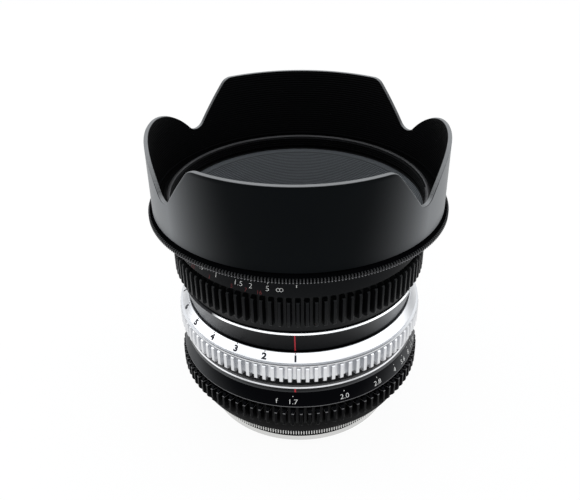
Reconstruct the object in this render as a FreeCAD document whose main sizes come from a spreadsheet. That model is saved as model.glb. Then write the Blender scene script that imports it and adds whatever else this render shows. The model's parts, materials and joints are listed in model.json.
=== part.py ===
import FreeCAD, Part
import math
import os
import re

import Sketcher
from FreeCAD import Placement, Rotation, Vector

# A wide-angle photographic lens with three geared rings and a petal hood.
# The optical axis is +Z and the front of the lens points up. The origin is on
# the axis, on the rear end of the bayonet. The index line faces -Y.
# Heights are counted from the origin, and every length is in millimetres.

os.makedirs("parts", exist_ok=True)
doc = FreeCAD.newDocument("lens")
sheet = doc.addObject("Spreadsheet::Sheet", "Sizes")

SIZES = {
    # Bayonet mount, with three lugs behind a flange
    "throat_radius": 19.8,
    "bayonet_wall": 1.8,
    "bayonet_length": 4.6,
    "lug_reach": 1.35,
    "lug_lift": 1.2,
    "lug_height": 1.4,
    "lug_angle": 52.0,
    "lug_count": 3,
    "flange_border": 3.0,
    "flange_height": 1.8,
    "mount_screw_circle": 28.2,
    "mount_screw_count": 4,
    "mount_screw_radius": 0.95,
    "mount_head_radius": 1.9,
    "mount_head_height": 1.0,
    "mount_screw_length": 5.0,
    "screw_hole_gap": 0.08,
    "screw_hole_spare": 0.6,
    # Rear housing and the fine-toothed ring round its neck
    "housing_neck_height": 2.9,
    "housing_neck_border": 2.3,
    "housing_bore_inset": 2.2,
    "housing_wall": 2.0,
    "housing_height": 6.8,
    "housing_floor_height": 2.0,
    "housing_chamfer": 2.4,
    "clamp_ring_step": 0.5,
    "clamp_ring_width": 2.5,
    "clamp_ring_height": 1.7,
    "clamp_ring_gap": 0.2,
    # Main barrel, which everything else is built on, and what all the rings share
    "barrel_radius": 34.0,
    "barrel_wall": 2.0,
    "running_gap": 0.08,
    "ring_gap": 0.3,
    "focus_ring_gap": 0.4,
    "skirt_wall": 2.85,
    "gear_wall": 3.4,
    "follower_radius": 1.5,
    "groove_depth": 1.6,
    "tooth_module": 0.8,
    "tooth_tip_width": 0.65,
    "tooth_root_gap": 0.68,
    "tooth_chamfer": 0.45,
    # Aperture ring
    "aperture_skirt_height": 0.5,
    "aperture_gear_height": 6.4,
    "aperture_gear_extra": 0.4,
    "aperture_neck_height": 1.2,
    "aperture_cone_height": 4.6,
    "aperture_cone_wall": 4.9,
    "aperture_top_wall": 3.4,
    "aperture_throw": 78.0,
    # Fixed index ring between the aperture ring and the control ring
    "lower_index_wall": 3.7,
    "lower_index_height": 1.8,
    "lower_index_chamfer": 0.3,
    # Control ring, numbered 1 to 7
    "control_skirt_height": 2.7,
    "control_gear_height": 5.4,
    "control_bead_wall": 4.9,
    "control_bead_height": 0.45,
    "control_shoulder_wall": 4.3,
    "control_shoulder_height": 0.5,
    "control_cone_height": 2.3,
    "control_top_wall": 2.35,
    "control_recess_wall": 2.0,
    "control_recess_depth": 2.2,
    "control_throw": 84.0,
    "control_lead": 12.0,
    "control_follower_lift": 2.2,
    "control_follower_count": 3,
    # Index barrel, with the index line
    "index_foot_wall": 1.5,
    "index_foot_gap": 0.4,
    "index_cone_height": 7.2,
    "index_wall": 3.4,
    "index_chamfer": 0.6,
    # Focus ring
    "focus_skirt_height": 3.0,
    "focus_gear_height": 8.3,
    "focus_neck_height": 1.3,
    "focus_cone_height": 5.2,
    "focus_cone_wall": 4.4,
    "focus_top_wall": 2.8,
    "focus_throw": 115.0,
    "focus_lead": 10.8,
    "focus_follower_lift": 2.4,
    "focus_follower_count": 2,
    # Front barrel, which carries the filter ring and the hood
    "spigot_wall": 2.5,
    "spigot_gap": 0.55,
    "barrel_inset": 2.0,
    "front_wall": 1.27,
    "front_foot_width": 2.6,
    "front_rim_wall": 1.4,
    "front_rim_height": 4.5,
    "front_seat_drop": 0.1,
    "filter_thread_radius": 38.5,
    "filter_thread_depth": 0.4,
    "thread_relief_depth": 0.4,
    "thread_relief_height": 1.7,
    "filter_ring_wall": 1.1,
    "filter_ring_height": 5.4,
    "filter_ring_chamfer": 0.35,
    "name_ring_width": 2.6,
    "name_ring_height": 0.9,
    # Ribbed baffle that leads down to the front element
    "baffle_slope": 0.7805,
    "baffle_wall": 1.3,
    "baffle_rim_height": 0.4,
    "baffle_rim_gap": 0.2,
    "baffle_end_gap": 0.5,
    "baffle_steps": 26,
    # Petal hood and the grip ring round its foot
    "hood_wall": 1.2,
    "hood_foot_wall": 2.92,
    "hood_foot_height": 1.7,
    "hood_step": 0.5,
    "hood_height": 22.5,
    "hood_side_drop": 2.9,
    "hood_valley_drop": 14.0,
    "hood_valley_round": 4.0,
    "hood_corner_round": 4.0,
    "hood_hill_round": 30.0,
    "hood_flank_angle": 51.3,
    "hood_notch_angle": 53.3,
    "hood_grip_border": 1.3,
    "hood_grip_gap": 0.3,
    "hood_grip_height": 2.2,
    "hood_grip_chamfer": 0.4,
    "hood_groove_depth": 0.8,
    "hood_groove_height": 0.5,
    # Front element and its cell
    "front_glass_lift": 0.3,
    "front_glass_curve": 95.0,
    "front_glass_thickness": 2.5,
    "front_glass_hollow": 120.0,
    "front_cell_wall": 6.15,
    "front_cell_drop": 1.4,
    "front_cell_lip": 1.0,
    "glass_gap": 0.05,
    "cement_gap": 0.05,
    "lens_seat": 1.3,
    "retainer_width": 1.1,
    "retainer_height": 1.3,
    # Focusing group
    "focus_web_lift": 2.7,
    "focus_glass_radius": 20.0,
    "focus_glass_drop": 0.6,
    "focus_glass_curve": 60.0,
    "focus_crown_thickness": 8.5,
    "focus_cement_curve": 80.0,
    "focus_flint_thickness": 2.3,
    "focus_back_curve": 150.0,
    # Control group
    "control_carrier_height": 8.2,
    "control_web_lift": 5.0,
    "control_glass_radius": 19.0,
    "control_glass_drop": 0.6,
    "control_glass_curve": 70.0,
    "control_glass_thickness": 6.4,
    "control_back_curve": 90.0,
    "carrier_rim": 2.0,
    "carrier_web": 2.4,
    "carrier_wall": 2.0,
    "carrier_end_wall": 0.3,
    "carrier_gap": 0.9,
    # Iris
    "iris_lift": 1.0,
    "iris_floor": 1.2,
    "iris_clear_radius": 14.2,
    "iris_wall": 2.9,
    "blade_count": 8,
    "blade_inset": 0.2,
    "blade_width": 5.8,
    "blade_arc": 104.0,
    "blade_thickness": 0.16,
    "blade_spacing": 0.22,
    "blade_start": 0.15,
    "blade_pivot_gap": 1.6,
    "blade_pin_radius": 0.5,
    "blade_pin_gap": 0.06,
    "blade_lever": 5.6,
    "blade_lever_angle": 263.0,
    "blade_ear_radius": 1.2,
    "blade_swing": 35.6,
    "cam_plate_inset": 2.9,
    "cam_plate_gap": 0.29,
    "cam_plate_height": 1.6,
    "iris_cover_gap": 0.2,
    "iris_cover_height": 1.2,
    "drive_pin_radius": 0.7,
    "drive_pin_inset": 1.6,
    "drive_pin_reach": 2.2,
    "drive_slot_spare": 3.0,
    # Rear group
    "rear_cell_wall": 2.65,
    "rear_cell_lift": 0.5,
    "rear_cell_drop": 1.6,
    "rear_flange_gap": 1.0,
    "rear_flange_height": 1.6,
    "rear_glass_radius": 16.5,
    "rear_glass_drop": 0.6,
    "rear_inner_curve": 50.0,
    "rear_inner_thickness": 6.6,
    "rear_inner_back": 60.0,
    "rear_air_gap": 0.4,
    "rear_outer_curve": 80.0,
    "rear_outer_thickness": 4.0,
    "rear_outer_back": 200.0,
}

# Where each piece lies. Every place is worked out from the sizes above, from
# the rear end of the bayonet up and from the axis out.
LAYOUT = {
    "bayonet_radius": "throat_radius + bayonet_wall",
    "lug_radius": "bayonet_radius + lug_reach",
    "lug_bottom": "lug_lift",
    "flange_radius": "mount_screw_circle + flange_border",
    "flange_bottom": "bayonet_length",
    "flange_top": "flange_bottom + flange_height",
    "housing_neck_radius": "mount_screw_circle + housing_neck_border",
    "housing_bore": "mount_screw_circle - housing_bore_inset",
    "housing_radius": "barrel_radius + housing_wall",
    "clamp_ring_bore": "housing_neck_radius + clamp_ring_step",
    "clamp_ring_radius": "clamp_ring_bore + clamp_ring_width",
    "clamp_ring_bottom": "flange_top + housing_neck_height",
    "clamp_ring_top": "clamp_ring_bottom + clamp_ring_height",
    "housing_bottom": "clamp_ring_top + clamp_ring_gap",
    "housing_floor": "housing_bottom + housing_floor_height",
    "housing_top": "housing_bottom + housing_height",
    "barrel_bore": "barrel_radius - barrel_wall",
    "ring_bore": "barrel_radius + running_gap",
    "skirt_radius": "barrel_radius + skirt_wall",
    "aperture_teeth": "round(2 * (barrel_radius + gear_wall + aperture_gear_extra) / tooth_module + 2.5)",
    "aperture_bottom": "housing_top + ring_gap",
    "aperture_gear_bottom": "aperture_bottom + aperture_skirt_height",
    "aperture_gear_top": "aperture_gear_bottom + aperture_gear_height",
    "aperture_cone_bottom": "aperture_gear_top + aperture_neck_height",
    "aperture_cone_radius": "barrel_radius + aperture_cone_wall",
    "aperture_top": "aperture_cone_bottom + aperture_cone_height",
    "aperture_top_radius": "barrel_radius + aperture_top_wall",
    "lower_index_radius": "barrel_radius + lower_index_wall",
    "lower_index_bottom": "aperture_top + ring_gap",
    "lower_index_top": "lower_index_bottom + lower_index_height",
    "control_teeth": "round(2 * (barrel_radius + gear_wall) / tooth_module + 2.5)",
    "control_bottom": "lower_index_top + ring_gap",
    "control_gear_bottom": "control_bottom + control_skirt_height",
    "control_gear_top": "control_gear_bottom + control_gear_height",
    "control_bead_bottom": "control_gear_top + tooth_chamfer",
    "control_bead_top": "control_bead_bottom + control_bead_height",
    "control_bead_radius": "barrel_radius + control_bead_wall",
    "control_shoulder_radius": "barrel_radius + control_shoulder_wall",
    "control_cone_bottom": "control_bead_top + control_shoulder_height",
    "control_top": "control_cone_bottom + control_cone_height",
    "control_top_radius": "barrel_radius + control_top_wall",
    "control_recess_radius": "barrel_radius + control_recess_wall",
    "control_recess_floor": "control_top - control_recess_depth",
    "control_rise": "control_lead * control_throw / 360",
    "control_follower_height": "control_bottom + control_follower_lift",
    "index_bottom": "control_recess_floor + index_foot_gap",
    "index_foot_radius": "barrel_radius + index_foot_wall",
    "index_radius": "barrel_radius + index_wall",
    "index_shoulder": "control_top + index_cone_height",
    "index_top": "index_shoulder + index_chamfer",
    "focus_teeth": "control_teeth",
    "focus_bottom": "index_top + focus_ring_gap",
    "focus_gear_bottom": "focus_bottom + focus_skirt_height",
    "focus_gear_top": "focus_gear_bottom + focus_gear_height",
    "focus_cone_bottom": "focus_gear_top + focus_neck_height",
    "focus_cone_radius": "barrel_radius + focus_cone_wall",
    "focus_top": "focus_cone_bottom + focus_cone_height",
    "focus_top_radius": "barrel_radius + focus_top_wall",
    "focus_rise": "focus_lead * focus_throw / 360",
    "focus_follower_height": "focus_bottom + focus_follower_lift",
    "follower_room": "follower_radius + running_gap",
    "front_bottom": "focus_top + ring_gap",
    "barrel_top": "front_bottom - barrel_inset",
    "spigot_bore": "barrel_bore - spigot_wall",
    "spigot_bottom": "focus_carrier_top + focus_rise + spigot_gap",
    "front_glass_radius": "spigot_bore - front_cell_wall - glass_gap",
    "baffle_end_radius": "front_glass_radius + baffle_end_gap",
    "baffle_mouth_radius": "name_ring_bore - baffle_rim_gap",
    "baffle_under": "front_bottom + front_wall - (barrel_radius - baffle_end_radius) * baffle_slope",
    "baffle_end_height": "baffle_under + baffle_wall",
    "baffle_mouth_height": "baffle_end_height + (baffle_mouth_radius - baffle_end_radius) * baffle_slope",
    "front_seat": "baffle_mouth_height - baffle_rim_height",
    "front_shoulder": "front_seat - front_seat_drop",
    "front_foot_radius": "barrel_radius + front_foot_width",
    "front_radius": "filter_ring_radius + front_rim_wall",
    "front_top": "front_shoulder + front_rim_height",
    "filter_ring_radius": "filter_thread_radius + filter_ring_wall",
    "filter_bore": "filter_thread_radius - filter_thread_depth",
    "relief_radius": "filter_thread_radius + thread_relief_depth",
    "thread_bottom": "front_seat + thread_relief_height",
    "filter_ring_top": "front_seat + filter_ring_height",
    "name_ring_bore": "filter_thread_radius - name_ring_width",
    "hood_bore": "front_radius + running_gap",
    "hood_radius": "hood_bore + hood_foot_wall",
    "hood_grip_radius": "hood_radius + hood_grip_border",
    "hood_groove_radius": "hood_radius - hood_groove_depth",
    "hood_grip_bottom": "front_shoulder + hood_grip_gap",
    "hood_grip_top": "hood_grip_bottom + hood_grip_height",
    "hood_bottom": "hood_grip_top + hood_groove_height",
    "hood_floor": "hood_bottom + hood_foot_height",
    "hood_top": "hood_floor + hood_height",
    "hood_side_top": "hood_top - hood_side_drop",
    "hood_valley": "hood_top - hood_valley_drop",
    "front_glass_top": "baffle_end_height + front_glass_lift",
    "front_cell_top": "baffle_end_height - front_cell_drop",
    "control_carrier_bottom": "control_bottom",
    "control_carrier_top": "control_carrier_bottom + control_carrier_height",
    "control_web_bottom": "control_carrier_bottom + control_web_lift",
    "control_glass_top": "control_carrier_top - control_glass_drop",
    "focus_carrier_bottom": "control_carrier_top + control_rise + carrier_gap",
    "focus_carrier_top": "focus_follower_height + follower_radius + carrier_end_wall",
    "focus_web_bottom": "focus_carrier_bottom + focus_web_lift",
    "focus_glass_top": "focus_carrier_top - focus_glass_drop",
    "iris_bottom": "aperture_gear_bottom + iris_lift",
    "iris_floor_top": "iris_bottom + iris_floor",
    "iris_wall_bore": "barrel_bore - iris_wall",
    "blade_inner_radius": "iris_clear_radius + blade_inset",
    "blade_outer_radius": "blade_inner_radius + blade_width",
    "blade_pivot_circle": "blade_outer_radius + blade_pivot_gap",
    "cam_plate_bore": "blade_pivot_circle - cam_plate_inset",
    "cam_plate_bottom": "iris_floor_top + blade_start + blade_count * blade_spacing + cam_plate_gap",
    "cam_plate_top": "cam_plate_bottom + cam_plate_height",
    "iris_cover_bottom": "cam_plate_top + iris_cover_gap",
    "iris_top": "iris_cover_bottom + iris_cover_height",
    "drive_height": "cam_plate_bottom + cam_plate_height / 2",
    "rear_cell_bottom": "flange_top + rear_cell_lift",
    "rear_cell_top": "iris_bottom - rear_cell_drop",
    "rear_bore": "rear_glass_radius + glass_gap",
    "rear_cell_radius": "rear_bore + rear_cell_wall",
    "rear_flange_radius": "barrel_bore - rear_flange_gap",
    "rear_inner_top": "iris_bottom - rear_glass_drop",
    "rear_inner_low": "rear_inner_top - rear_inner_thickness",
    "rear_outer_top": "rear_inner_low - rear_air_gap",
    "rear_outer_low": "rear_outer_top - rear_outer_thickness",
}

for row, (alias, value) in enumerate(SIZES.items(), start=1):
    sheet.set(f"A{row}", alias)
    sheet.set(f"B{row}", str(value))
    sheet.setAlias(f"B{row}", alias)
doc.recompute()


NAMED = r"[a-z]\w*_\w+"


def bound(text):
    """Write an expression on names as one on the sheet's cells."""
    text = str(text)
    while any(name in LAYOUT for name in re.findall(NAMED, text)):
        text = re.sub(NAMED, lambda name: f"({LAYOUT[name[0]]})" if name[0] in LAYOUT else name[0], text)
    return re.sub(NAMED, lambda name: "Sizes." + name[0], text)


def size(text):
    """Work out an expression on names."""
    value = sheet.evalExpression(bound(text))
    return float(getattr(value, "Value", value))


def new_body(label):
    """Start a body for one sub-part."""
    body = doc.addObject("PartDesign::Body", label)
    body.Label = label
    return body


def origin_plane(body, role):
    """Find one of a body's own origin planes."""
    return next(item for item in body.Origin.OriginFeatures if item.Role == role)


def new_sketch(body, name, role="XZ_Plane", offset=None):
    """Put an empty sketch on one of a body's origin planes."""
    sketch = body.newObject("Sketcher::SketchObject", name)
    sketch.AttachmentSupport = [(origin_plane(body, role), "")]
    sketch.MapMode = "FlatFace"
    if offset is not None:
        sketch.AttachmentOffset = offset
    return sketch


def pin_point(sketch, line, end, across, up, name):
    """Hold one end of a line at a place bound to the sheet."""
    for axis, kind, text in (("x", "DistanceX", across), ("y", "DistanceY", up)):
        value = size(text)
        if abs(value) < 1e-9:
            sketch.addConstraint(Sketcher.Constraint("PointOnObject", line, end, -2 if axis == "x" else -1))
            continue
        index = sketch.addConstraint(Sketcher.Constraint(kind, -1, 1, line, end, value))
        sketch.renameConstraint(index, name + axis)
        sketch.setExpression("Constraints." + name + axis, bound(text))


def closed_outline(sketch, corners):
    """Draw a closed outline of straight lines through corners given as expressions."""
    places = [Vector(size(across), size(up), 0) for across, up in corners]
    count = len(places)
    lines = [Part.LineSegment(places[i], places[(i + 1) % count]) for i in range(count)]
    sketch.addGeometry(lines, False)
    sketch.addConstraint([Sketcher.Constraint("Coincident", i, 2, (i + 1) % count, 1) for i in range(count)])
    for i, (across, up) in enumerate(corners):
        pin_point(sketch, i, 1, across, up, f"corner{i}")


def revolve(body, sketch):
    """Turn a sketch round the optical axis."""
    feature = body.newObject("PartDesign::Revolution", "Turned")
    feature.Profile = (sketch, [""])
    feature.ReferenceAxis = (sketch, ["V_Axis"])
    feature.Angle = 360
    sketch.Visibility = False
    return feature


def turned(label, corners):
    """Make a sub-part that is one outline turned round the optical axis."""
    body = new_body(label)
    sketch = new_sketch(body, "Outline")
    closed_outline(sketch, corners)
    revolve(body, sketch)
    doc.recompute()
    return body


def pocket(body, sketch, depth, reverse=True):
    """Cut a sketch's outline out of a body, along its normal unless reverse is off."""
    before = body.Shape.Volume
    feature = body.newObject("PartDesign::Pocket", "Cut")
    feature.Profile = (sketch, [""])
    feature.Reversed = reverse
    feature.setExpression("Length", bound(depth))
    sketch.Visibility = False
    doc.recompute()
    if feature.Shape.Volume >= before - 1e-6:
        raise RuntimeError(f"{body.Label}: a pocket cuts nothing")
    return feature


def around(body, sketch, feature, count):
    """Repeat a feature evenly round the optical axis."""
    pattern = body.newObject("PartDesign::PolarPattern", "Around")
    pattern.Originals = [feature]
    pattern.Axis = (sketch, ["N_Axis"])
    pattern.Angle = 360
    pattern.setExpression("Occurrences", bound(count))
    body.Tip = pattern
    doc.recompute()
    return pattern


def raised(height, turn=0.0):
    """Give the offset of a sketch that lies across the axis at a height."""
    return Placement(Vector(0, 0, size(height)), Rotation(Vector(0, 0, 1), turn))


def cut_teeth(body, teeth, bottom, height):
    """Cut the gaps between a gear's teeth, one gap repeated round the axis."""
    tip = f"tooth_module * ({teeth} + 2) / 2"
    root = f"tooth_module * ({teeth} - 2.5) / 2"
    wide = f"(3.14159265 * tooth_module * ({teeth} + 2) / {teeth} - tooth_tip_width) / 2"
    sketch = new_sketch(body, "ToothGap", "XY_Plane", raised(bottom))
    sketch.setExpression("AttachmentOffset.Base.z", bound(bottom))
    closed_outline(sketch, [
        (root, "0 - tooth_root_gap / 2"),
        (f"{tip} + tooth_chamfer", f"0 - {wide}"),
        (f"{tip} + tooth_chamfer", wide),
        (root, "tooth_root_gap / 2"),
    ])
    gap = pocket(body, sketch, height)
    around(body, sketch, gap, teeth)


def tip_radius(teeth):
    return f"(tooth_module * ({teeth} + 2) / 2)"


def root_radius(teeth):
    return f"(tooth_module * ({teeth} - 2.5) / 2)"


def cut_grooves(body, count, bottom, height):
    """Cut the axial grooves inside a ring that turn its follower pins."""
    sketch = new_sketch(body, "Groove", "XY_Plane", raised(bottom))
    sketch.setExpression("AttachmentOffset.Base.z", bound(bottom))
    closed_outline(sketch, [
        ("barrel_radius - 1", "0 - follower_room"),
        ("barrel_radius + groove_depth", "0 - follower_room"),
        ("barrel_radius + groove_depth", "follower_room"),
        ("barrel_radius - 1", "follower_room"),
    ])
    groove = pocket(body, sketch, height)
    around(body, sketch, groove, count)


def keep_shape(label, shape):
    """Keep a shape made with Part's own functions as a sub-part."""
    part = doc.addObject("Part::Feature", label)
    part.Label = label
    part.Shape = shape
    return part


def radial_pin(radius, start, end, height, angle=0.0):
    """Make a pin that points away from the axis, at an angle from +X."""
    pin = Part.makeCylinder(radius, end - start, Vector(start, 0, height), Vector(1, 0, 0))
    pin.rotate(Vector(0, 0, 0), Vector(0, 0, 1), angle)
    return pin


def helical_slot(half_width, inner, outer, start_height, lead, throw, angle):
    """Make the cutters of a slot that climbs as a helix: its length, then its round ends."""
    rise = lead * throw / 360
    path = Part.makeHelix(lead, rise, (inner + outer) / 2)
    path.translate(Vector(0, 0, start_height))
    corners = [
        Vector(inner, 0, start_height - half_width),
        Vector(outer, 0, start_height - half_width),
        Vector(outer, 0, start_height + half_width),
        Vector(inner, 0, start_height + half_width),
    ]
    profile = Part.makePolygon(corners + corners[:1])
    cutters = [
        Part.Wire(path.Edges).makePipeShell([profile], True, True),
        radial_pin(half_width, inner, outer, start_height),
        radial_pin(half_width, inner, outer, start_height + rise, throw),
    ]
    for cutter in cutters:
        cutter.rotate(Vector(0, 0, 0), Vector(0, 0, 1), angle)
    return cutters


def arc_slot(half_width, inner, outer, height, throw, angle):
    """Make the cutter of a level slot round part of a wall, with round ends."""
    ring = Part.makeCylinder(outer, 2 * half_width, Vector(0, 0, height - half_width), Vector(0, 0, 1), throw)
    core = Part.makeCylinder(inner, 4 * half_width, Vector(0, 0, height - 2 * half_width))
    slot = ring.cut(core).fuse([
        radial_pin(half_width, inner, outer, height),
        radial_pin(half_width, inner, outer, height, throw),
    ])
    slot.rotate(Vector(0, 0, 0), Vector(0, 0, 1), angle)
    return slot


def sphere_height(vertex, curve, across, bulges_up):
    """Write the height of a spherical surface at a distance from the axis."""
    if bulges_up:
        return f"({vertex} - {curve} + sqrt({curve} ^ 2 - ({across}) ^ 2))"
    return f"({vertex} + {curve} - sqrt({curve} ^ 2 - ({across}) ^ 2))"


def lens_element(label, radius, top, thickness, front, back, front_up=True, back_up=False):
    """Make a lens element from its edge radius, its two curves and its thickness.

    A surface that bulges up has its sphere's centre below it.
    """
    body = new_body(label)
    sketch = new_sketch(body, "Outline")
    edge, high, low = size(radius), size(top), size(f"{top} - ({thickness})")
    surfaces = []
    for vertex, text, up in ((high, front, front_up), (low, back, back_up)):
        curve = size(text)
        tilt = math.asin(edge / curve)
        centre = Vector(0, vertex - curve if up else vertex + curve, 0)
        ends = (math.pi / 2 - tilt, math.pi / 2) if up else (-math.pi / 2, -math.pi / 2 + tilt)
        arc = Part.ArcOfCircle(Part.Circle(centre, Vector(0, 0, 1), curve), *ends)
        rim = centre + Vector(edge, curve * math.cos(tilt) * (1 if up else -1), 0)
        edge_end, axis_end = (1, 2) if up else (2, 1)
        surfaces.append((arc, rim, edge_end, axis_end, curve))
    (front_arc, front_rim, front_edge, front_axis, near), (back_arc, back_rim, back_edge, back_axis, far) = surfaces
    sketch.addGeometry([
        front_arc,
        Part.LineSegment(front_rim, back_rim),
        back_arc,
        Part.LineSegment(Vector(0, low, 0), Vector(0, high, 0)),
    ], False)
    sketch.addConstraint([
        Sketcher.Constraint("Coincident", 0, front_edge, 1, 1),
        Sketcher.Constraint("Coincident", 1, 2, 2, back_edge),
        Sketcher.Constraint("Coincident", 2, back_axis, 3, 1),
        Sketcher.Constraint("Coincident", 3, 2, 0, front_axis),
        Sketcher.Constraint("PointOnObject", 0, 3, -2),
        Sketcher.Constraint("PointOnObject", 2, 3, -2),
        Sketcher.Constraint("PointOnObject", 3, 1, -2),
        Sketcher.Constraint("PointOnObject", 3, 2, -2),
        Sketcher.Constraint("Vertical", 1),
    ])
    for name, parts, text in (
        ("edge", ("DistanceX", -1, 1, 1, 1, edge), radius),
        ("front", ("Radius", 0, near), front),
        ("back", ("Radius", 2, far), back),
        ("top", ("DistanceY", -1, 1, 3, 2, high), top),
        ("bottom", ("DistanceY", -1, 1, 3, 1, low), f"{top} - ({thickness})"),
    ):
        index = sketch.addConstraint(Sketcher.Constraint(*parts))
        sketch.renameConstraint(index, name)
        sketch.setExpression("Constraints." + name, bound(text))
    revolve(body, sketch)
    doc.recompute()
    return body


# Bayonet mount: a flange and a tube with lugs, four screws and a clamp ring

mount = turned("mount_bayonet", [
    ("throat_radius", "0"),
    ("bayonet_radius", "0"),
    ("bayonet_radius", "flange_bottom"),
    ("flange_radius", "flange_bottom"),
    ("flange_radius", "flange_top"),
    ("throat_radius", "flange_top"),
])
lug_sketch = new_sketch(mount, "Lug", "XZ_Plane")
closed_outline(lug_sketch, [
    ("bayonet_radius - 0.5", "lug_bottom"),
    ("lug_radius", "lug_bottom"),
    ("lug_radius", "lug_bottom + lug_height"),
    ("bayonet_radius - 0.5", "lug_bottom + lug_height"),
])
lug = mount.newObject("PartDesign::Revolution", "LugTurned")
lug.Profile = (lug_sketch, [""])
lug.ReferenceAxis = (lug_sketch, ["V_Axis"])
lug.setExpression("Angle", bound("lug_angle"))
doc.recompute()
flat_sketch = new_sketch(mount, "Centre", "XY_Plane")
flat_sketch.addGeometry(Part.Circle(Vector(size("mount_screw_circle"), 0, 0), Vector(0, 0, 1), 1.0), False)
screw_hole = "mount_screw_radius + screw_hole_gap"
for name, parts, text in (
    ("across", ("DistanceX", -1, 1, 0, 3, size("mount_screw_circle")), "mount_screw_circle"),
    ("hole", ("Radius", 0, size(screw_hole)), screw_hole),
):
    index = flat_sketch.addConstraint(Sketcher.Constraint(*parts))
    flat_sketch.renameConstraint(index, name)
    flat_sketch.setExpression("Constraints." + name, bound(text))
flat_sketch.addConstraint(Sketcher.Constraint("PointOnObject", 0, 3, -1))
around(mount, flat_sketch, lug, "lug_count")
flat_hole = pocket(mount, flat_sketch, "flange_top + 1")
around(mount, flat_sketch, flat_hole, "mount_screw_count")
head_sketch = new_sketch(mount, "HeadSeat", "XZ_Plane")
closed_outline(head_sketch, [
    ("mount_screw_circle", "flange_bottom"),
    ("mount_screw_circle + mount_head_radius + screw_hole_gap", "flange_bottom"),
    ("mount_screw_circle + mount_screw_radius + screw_hole_gap", "flange_bottom + mount_head_height"),
    ("mount_screw_circle", "flange_bottom + mount_head_height"),
])
head_seat = mount.newObject("PartDesign::Groove", "Countersink")
head_seat.Profile = (head_sketch, [""])
head_seat.ReferenceAxis = (head_sketch, ["Edge4"])
head_seat.Angle = 360
doc.recompute()
around(mount, flat_sketch, head_seat, "mount_screw_count")


def countersunk_screw():
    """Make one flange screw on the axis, its head down and its slot across it."""
    head = Part.makeCone(
        size("mount_head_radius"), size("mount_screw_radius"), size("mount_head_height"),
        Vector(0, 0, size("flange_bottom")),
    )
    shank = Part.makeCylinder(
        size("mount_screw_radius"), size("mount_screw_length"), Vector(0, 0, size("flange_bottom")),
    )
    recess_width = size("mount_screw_radius") * 0.4
    recess_length = size("mount_head_radius") * 1.2
    screw = head.fuse(shank)
    for turn in (0, 90):
        recess = Part.makeBox(
            recess_length, recess_width, size("mount_head_height") * 0.6,
            Vector(-recess_length / 2, -recess_width / 2, size("flange_bottom")),
        )
        recess.rotate(Vector(0, 0, 0), Vector(0, 0, 1), turn)
        screw = screw.cut(recess)
    return screw.removeSplitter()


screws = []
for number in range(int(size("mount_screw_count"))):
    screw = countersunk_screw()
    screw.translate(Vector(size("mount_screw_circle"), 0, 0))
    screw.rotate(Vector(0, 0, 0), Vector(0, 0, 1), number * 360 / size("mount_screw_count"))
    screws.append(screw)
keep_shape("mount_screws", Part.makeCompound(screws))

housing = turned("rear_housing", [
    ("housing_bore", "flange_top"),
    ("housing_neck_radius", "flange_top"),
    ("housing_neck_radius", "clamp_ring_bottom"),
    ("clamp_ring_bore", "clamp_ring_bottom"),
    ("clamp_ring_bore", "housing_bottom"),
    ("housing_radius - housing_chamfer", "housing_bottom"),
    ("housing_radius", "housing_bottom + housing_chamfer"),
    ("housing_radius", "housing_top"),
    ("barrel_radius", "housing_top"),
    ("barrel_radius", "housing_floor"),
    ("housing_bore", "housing_floor"),
])
hole_sketch = new_sketch(housing, "ScrewHole", "XY_Plane", raised("flange_top"))
hole_sketch.setExpression("AttachmentOffset.Base.z", bound("flange_top"))
hole_sketch.addGeometry(Part.Circle(Vector(size("mount_screw_circle"), 0, 0), Vector(0, 0, 1), 1.0), False)
for name, parts, text in (
    ("across", ("DistanceX", -1, 1, 0, 3, size("mount_screw_circle")), "mount_screw_circle"),
    ("hole", ("Radius", 0, size(screw_hole)), screw_hole),
):
    index = hole_sketch.addConstraint(Sketcher.Constraint(*parts))
    hole_sketch.renameConstraint(index, name)
    hole_sketch.setExpression("Constraints." + name, bound(text))
hole_sketch.addConstraint(Sketcher.Constraint("PointOnObject", 0, 3, -1))
housing_hole = pocket(housing, hole_sketch, "mount_screw_length - flange_height + screw_hole_spare")
around(housing, hole_sketch, housing_hole, "mount_screw_count")

turned("mount_clamp_ring", [
    ("clamp_ring_bore", "clamp_ring_bottom"),
    ("clamp_ring_radius", "clamp_ring_bottom"),
    ("clamp_ring_radius", "clamp_ring_top"),
    ("clamp_ring_bore", "clamp_ring_top"),
])

# Main barrel, with the slots that lift the two moving groups

slot_half = size("follower_room")
slot_inner = size("barrel_bore") - 1
slot_outer = size("barrel_radius") + 1
tube = Part.makeCylinder(size("barrel_radius"), size("barrel_top - housing_floor"), Vector(0, 0, size("housing_floor")))
tube = tube.cut(Part.makeCylinder(
    size("barrel_bore"), size("barrel_top - housing_floor"), Vector(0, 0, size("housing_floor")),
))
cutters = []
for group in ("focus", "control"):
    count = int(size(f"{group}_follower_count"))
    for number in range(count):
        cutters.extend(helical_slot(
            slot_half, slot_inner, slot_outer, size(f"{group}_follower_height"),
            size(f"{group}_lead"), size(f"{group}_throw"), number * 360 / count,
        ))
drive_height = size("drive_height")
drive_half = size("drive_pin_radius + running_gap")
drive_throw = size("aperture_throw")
cutters.append(arc_slot(drive_half, slot_inner, slot_outer, drive_height, drive_throw, -drive_throw))
for cutter in cutters:
    tube = tube.cut(cutter)
keep_shape("main_barrel", tube)

# Aperture ring and the fixed index ring above it

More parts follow.
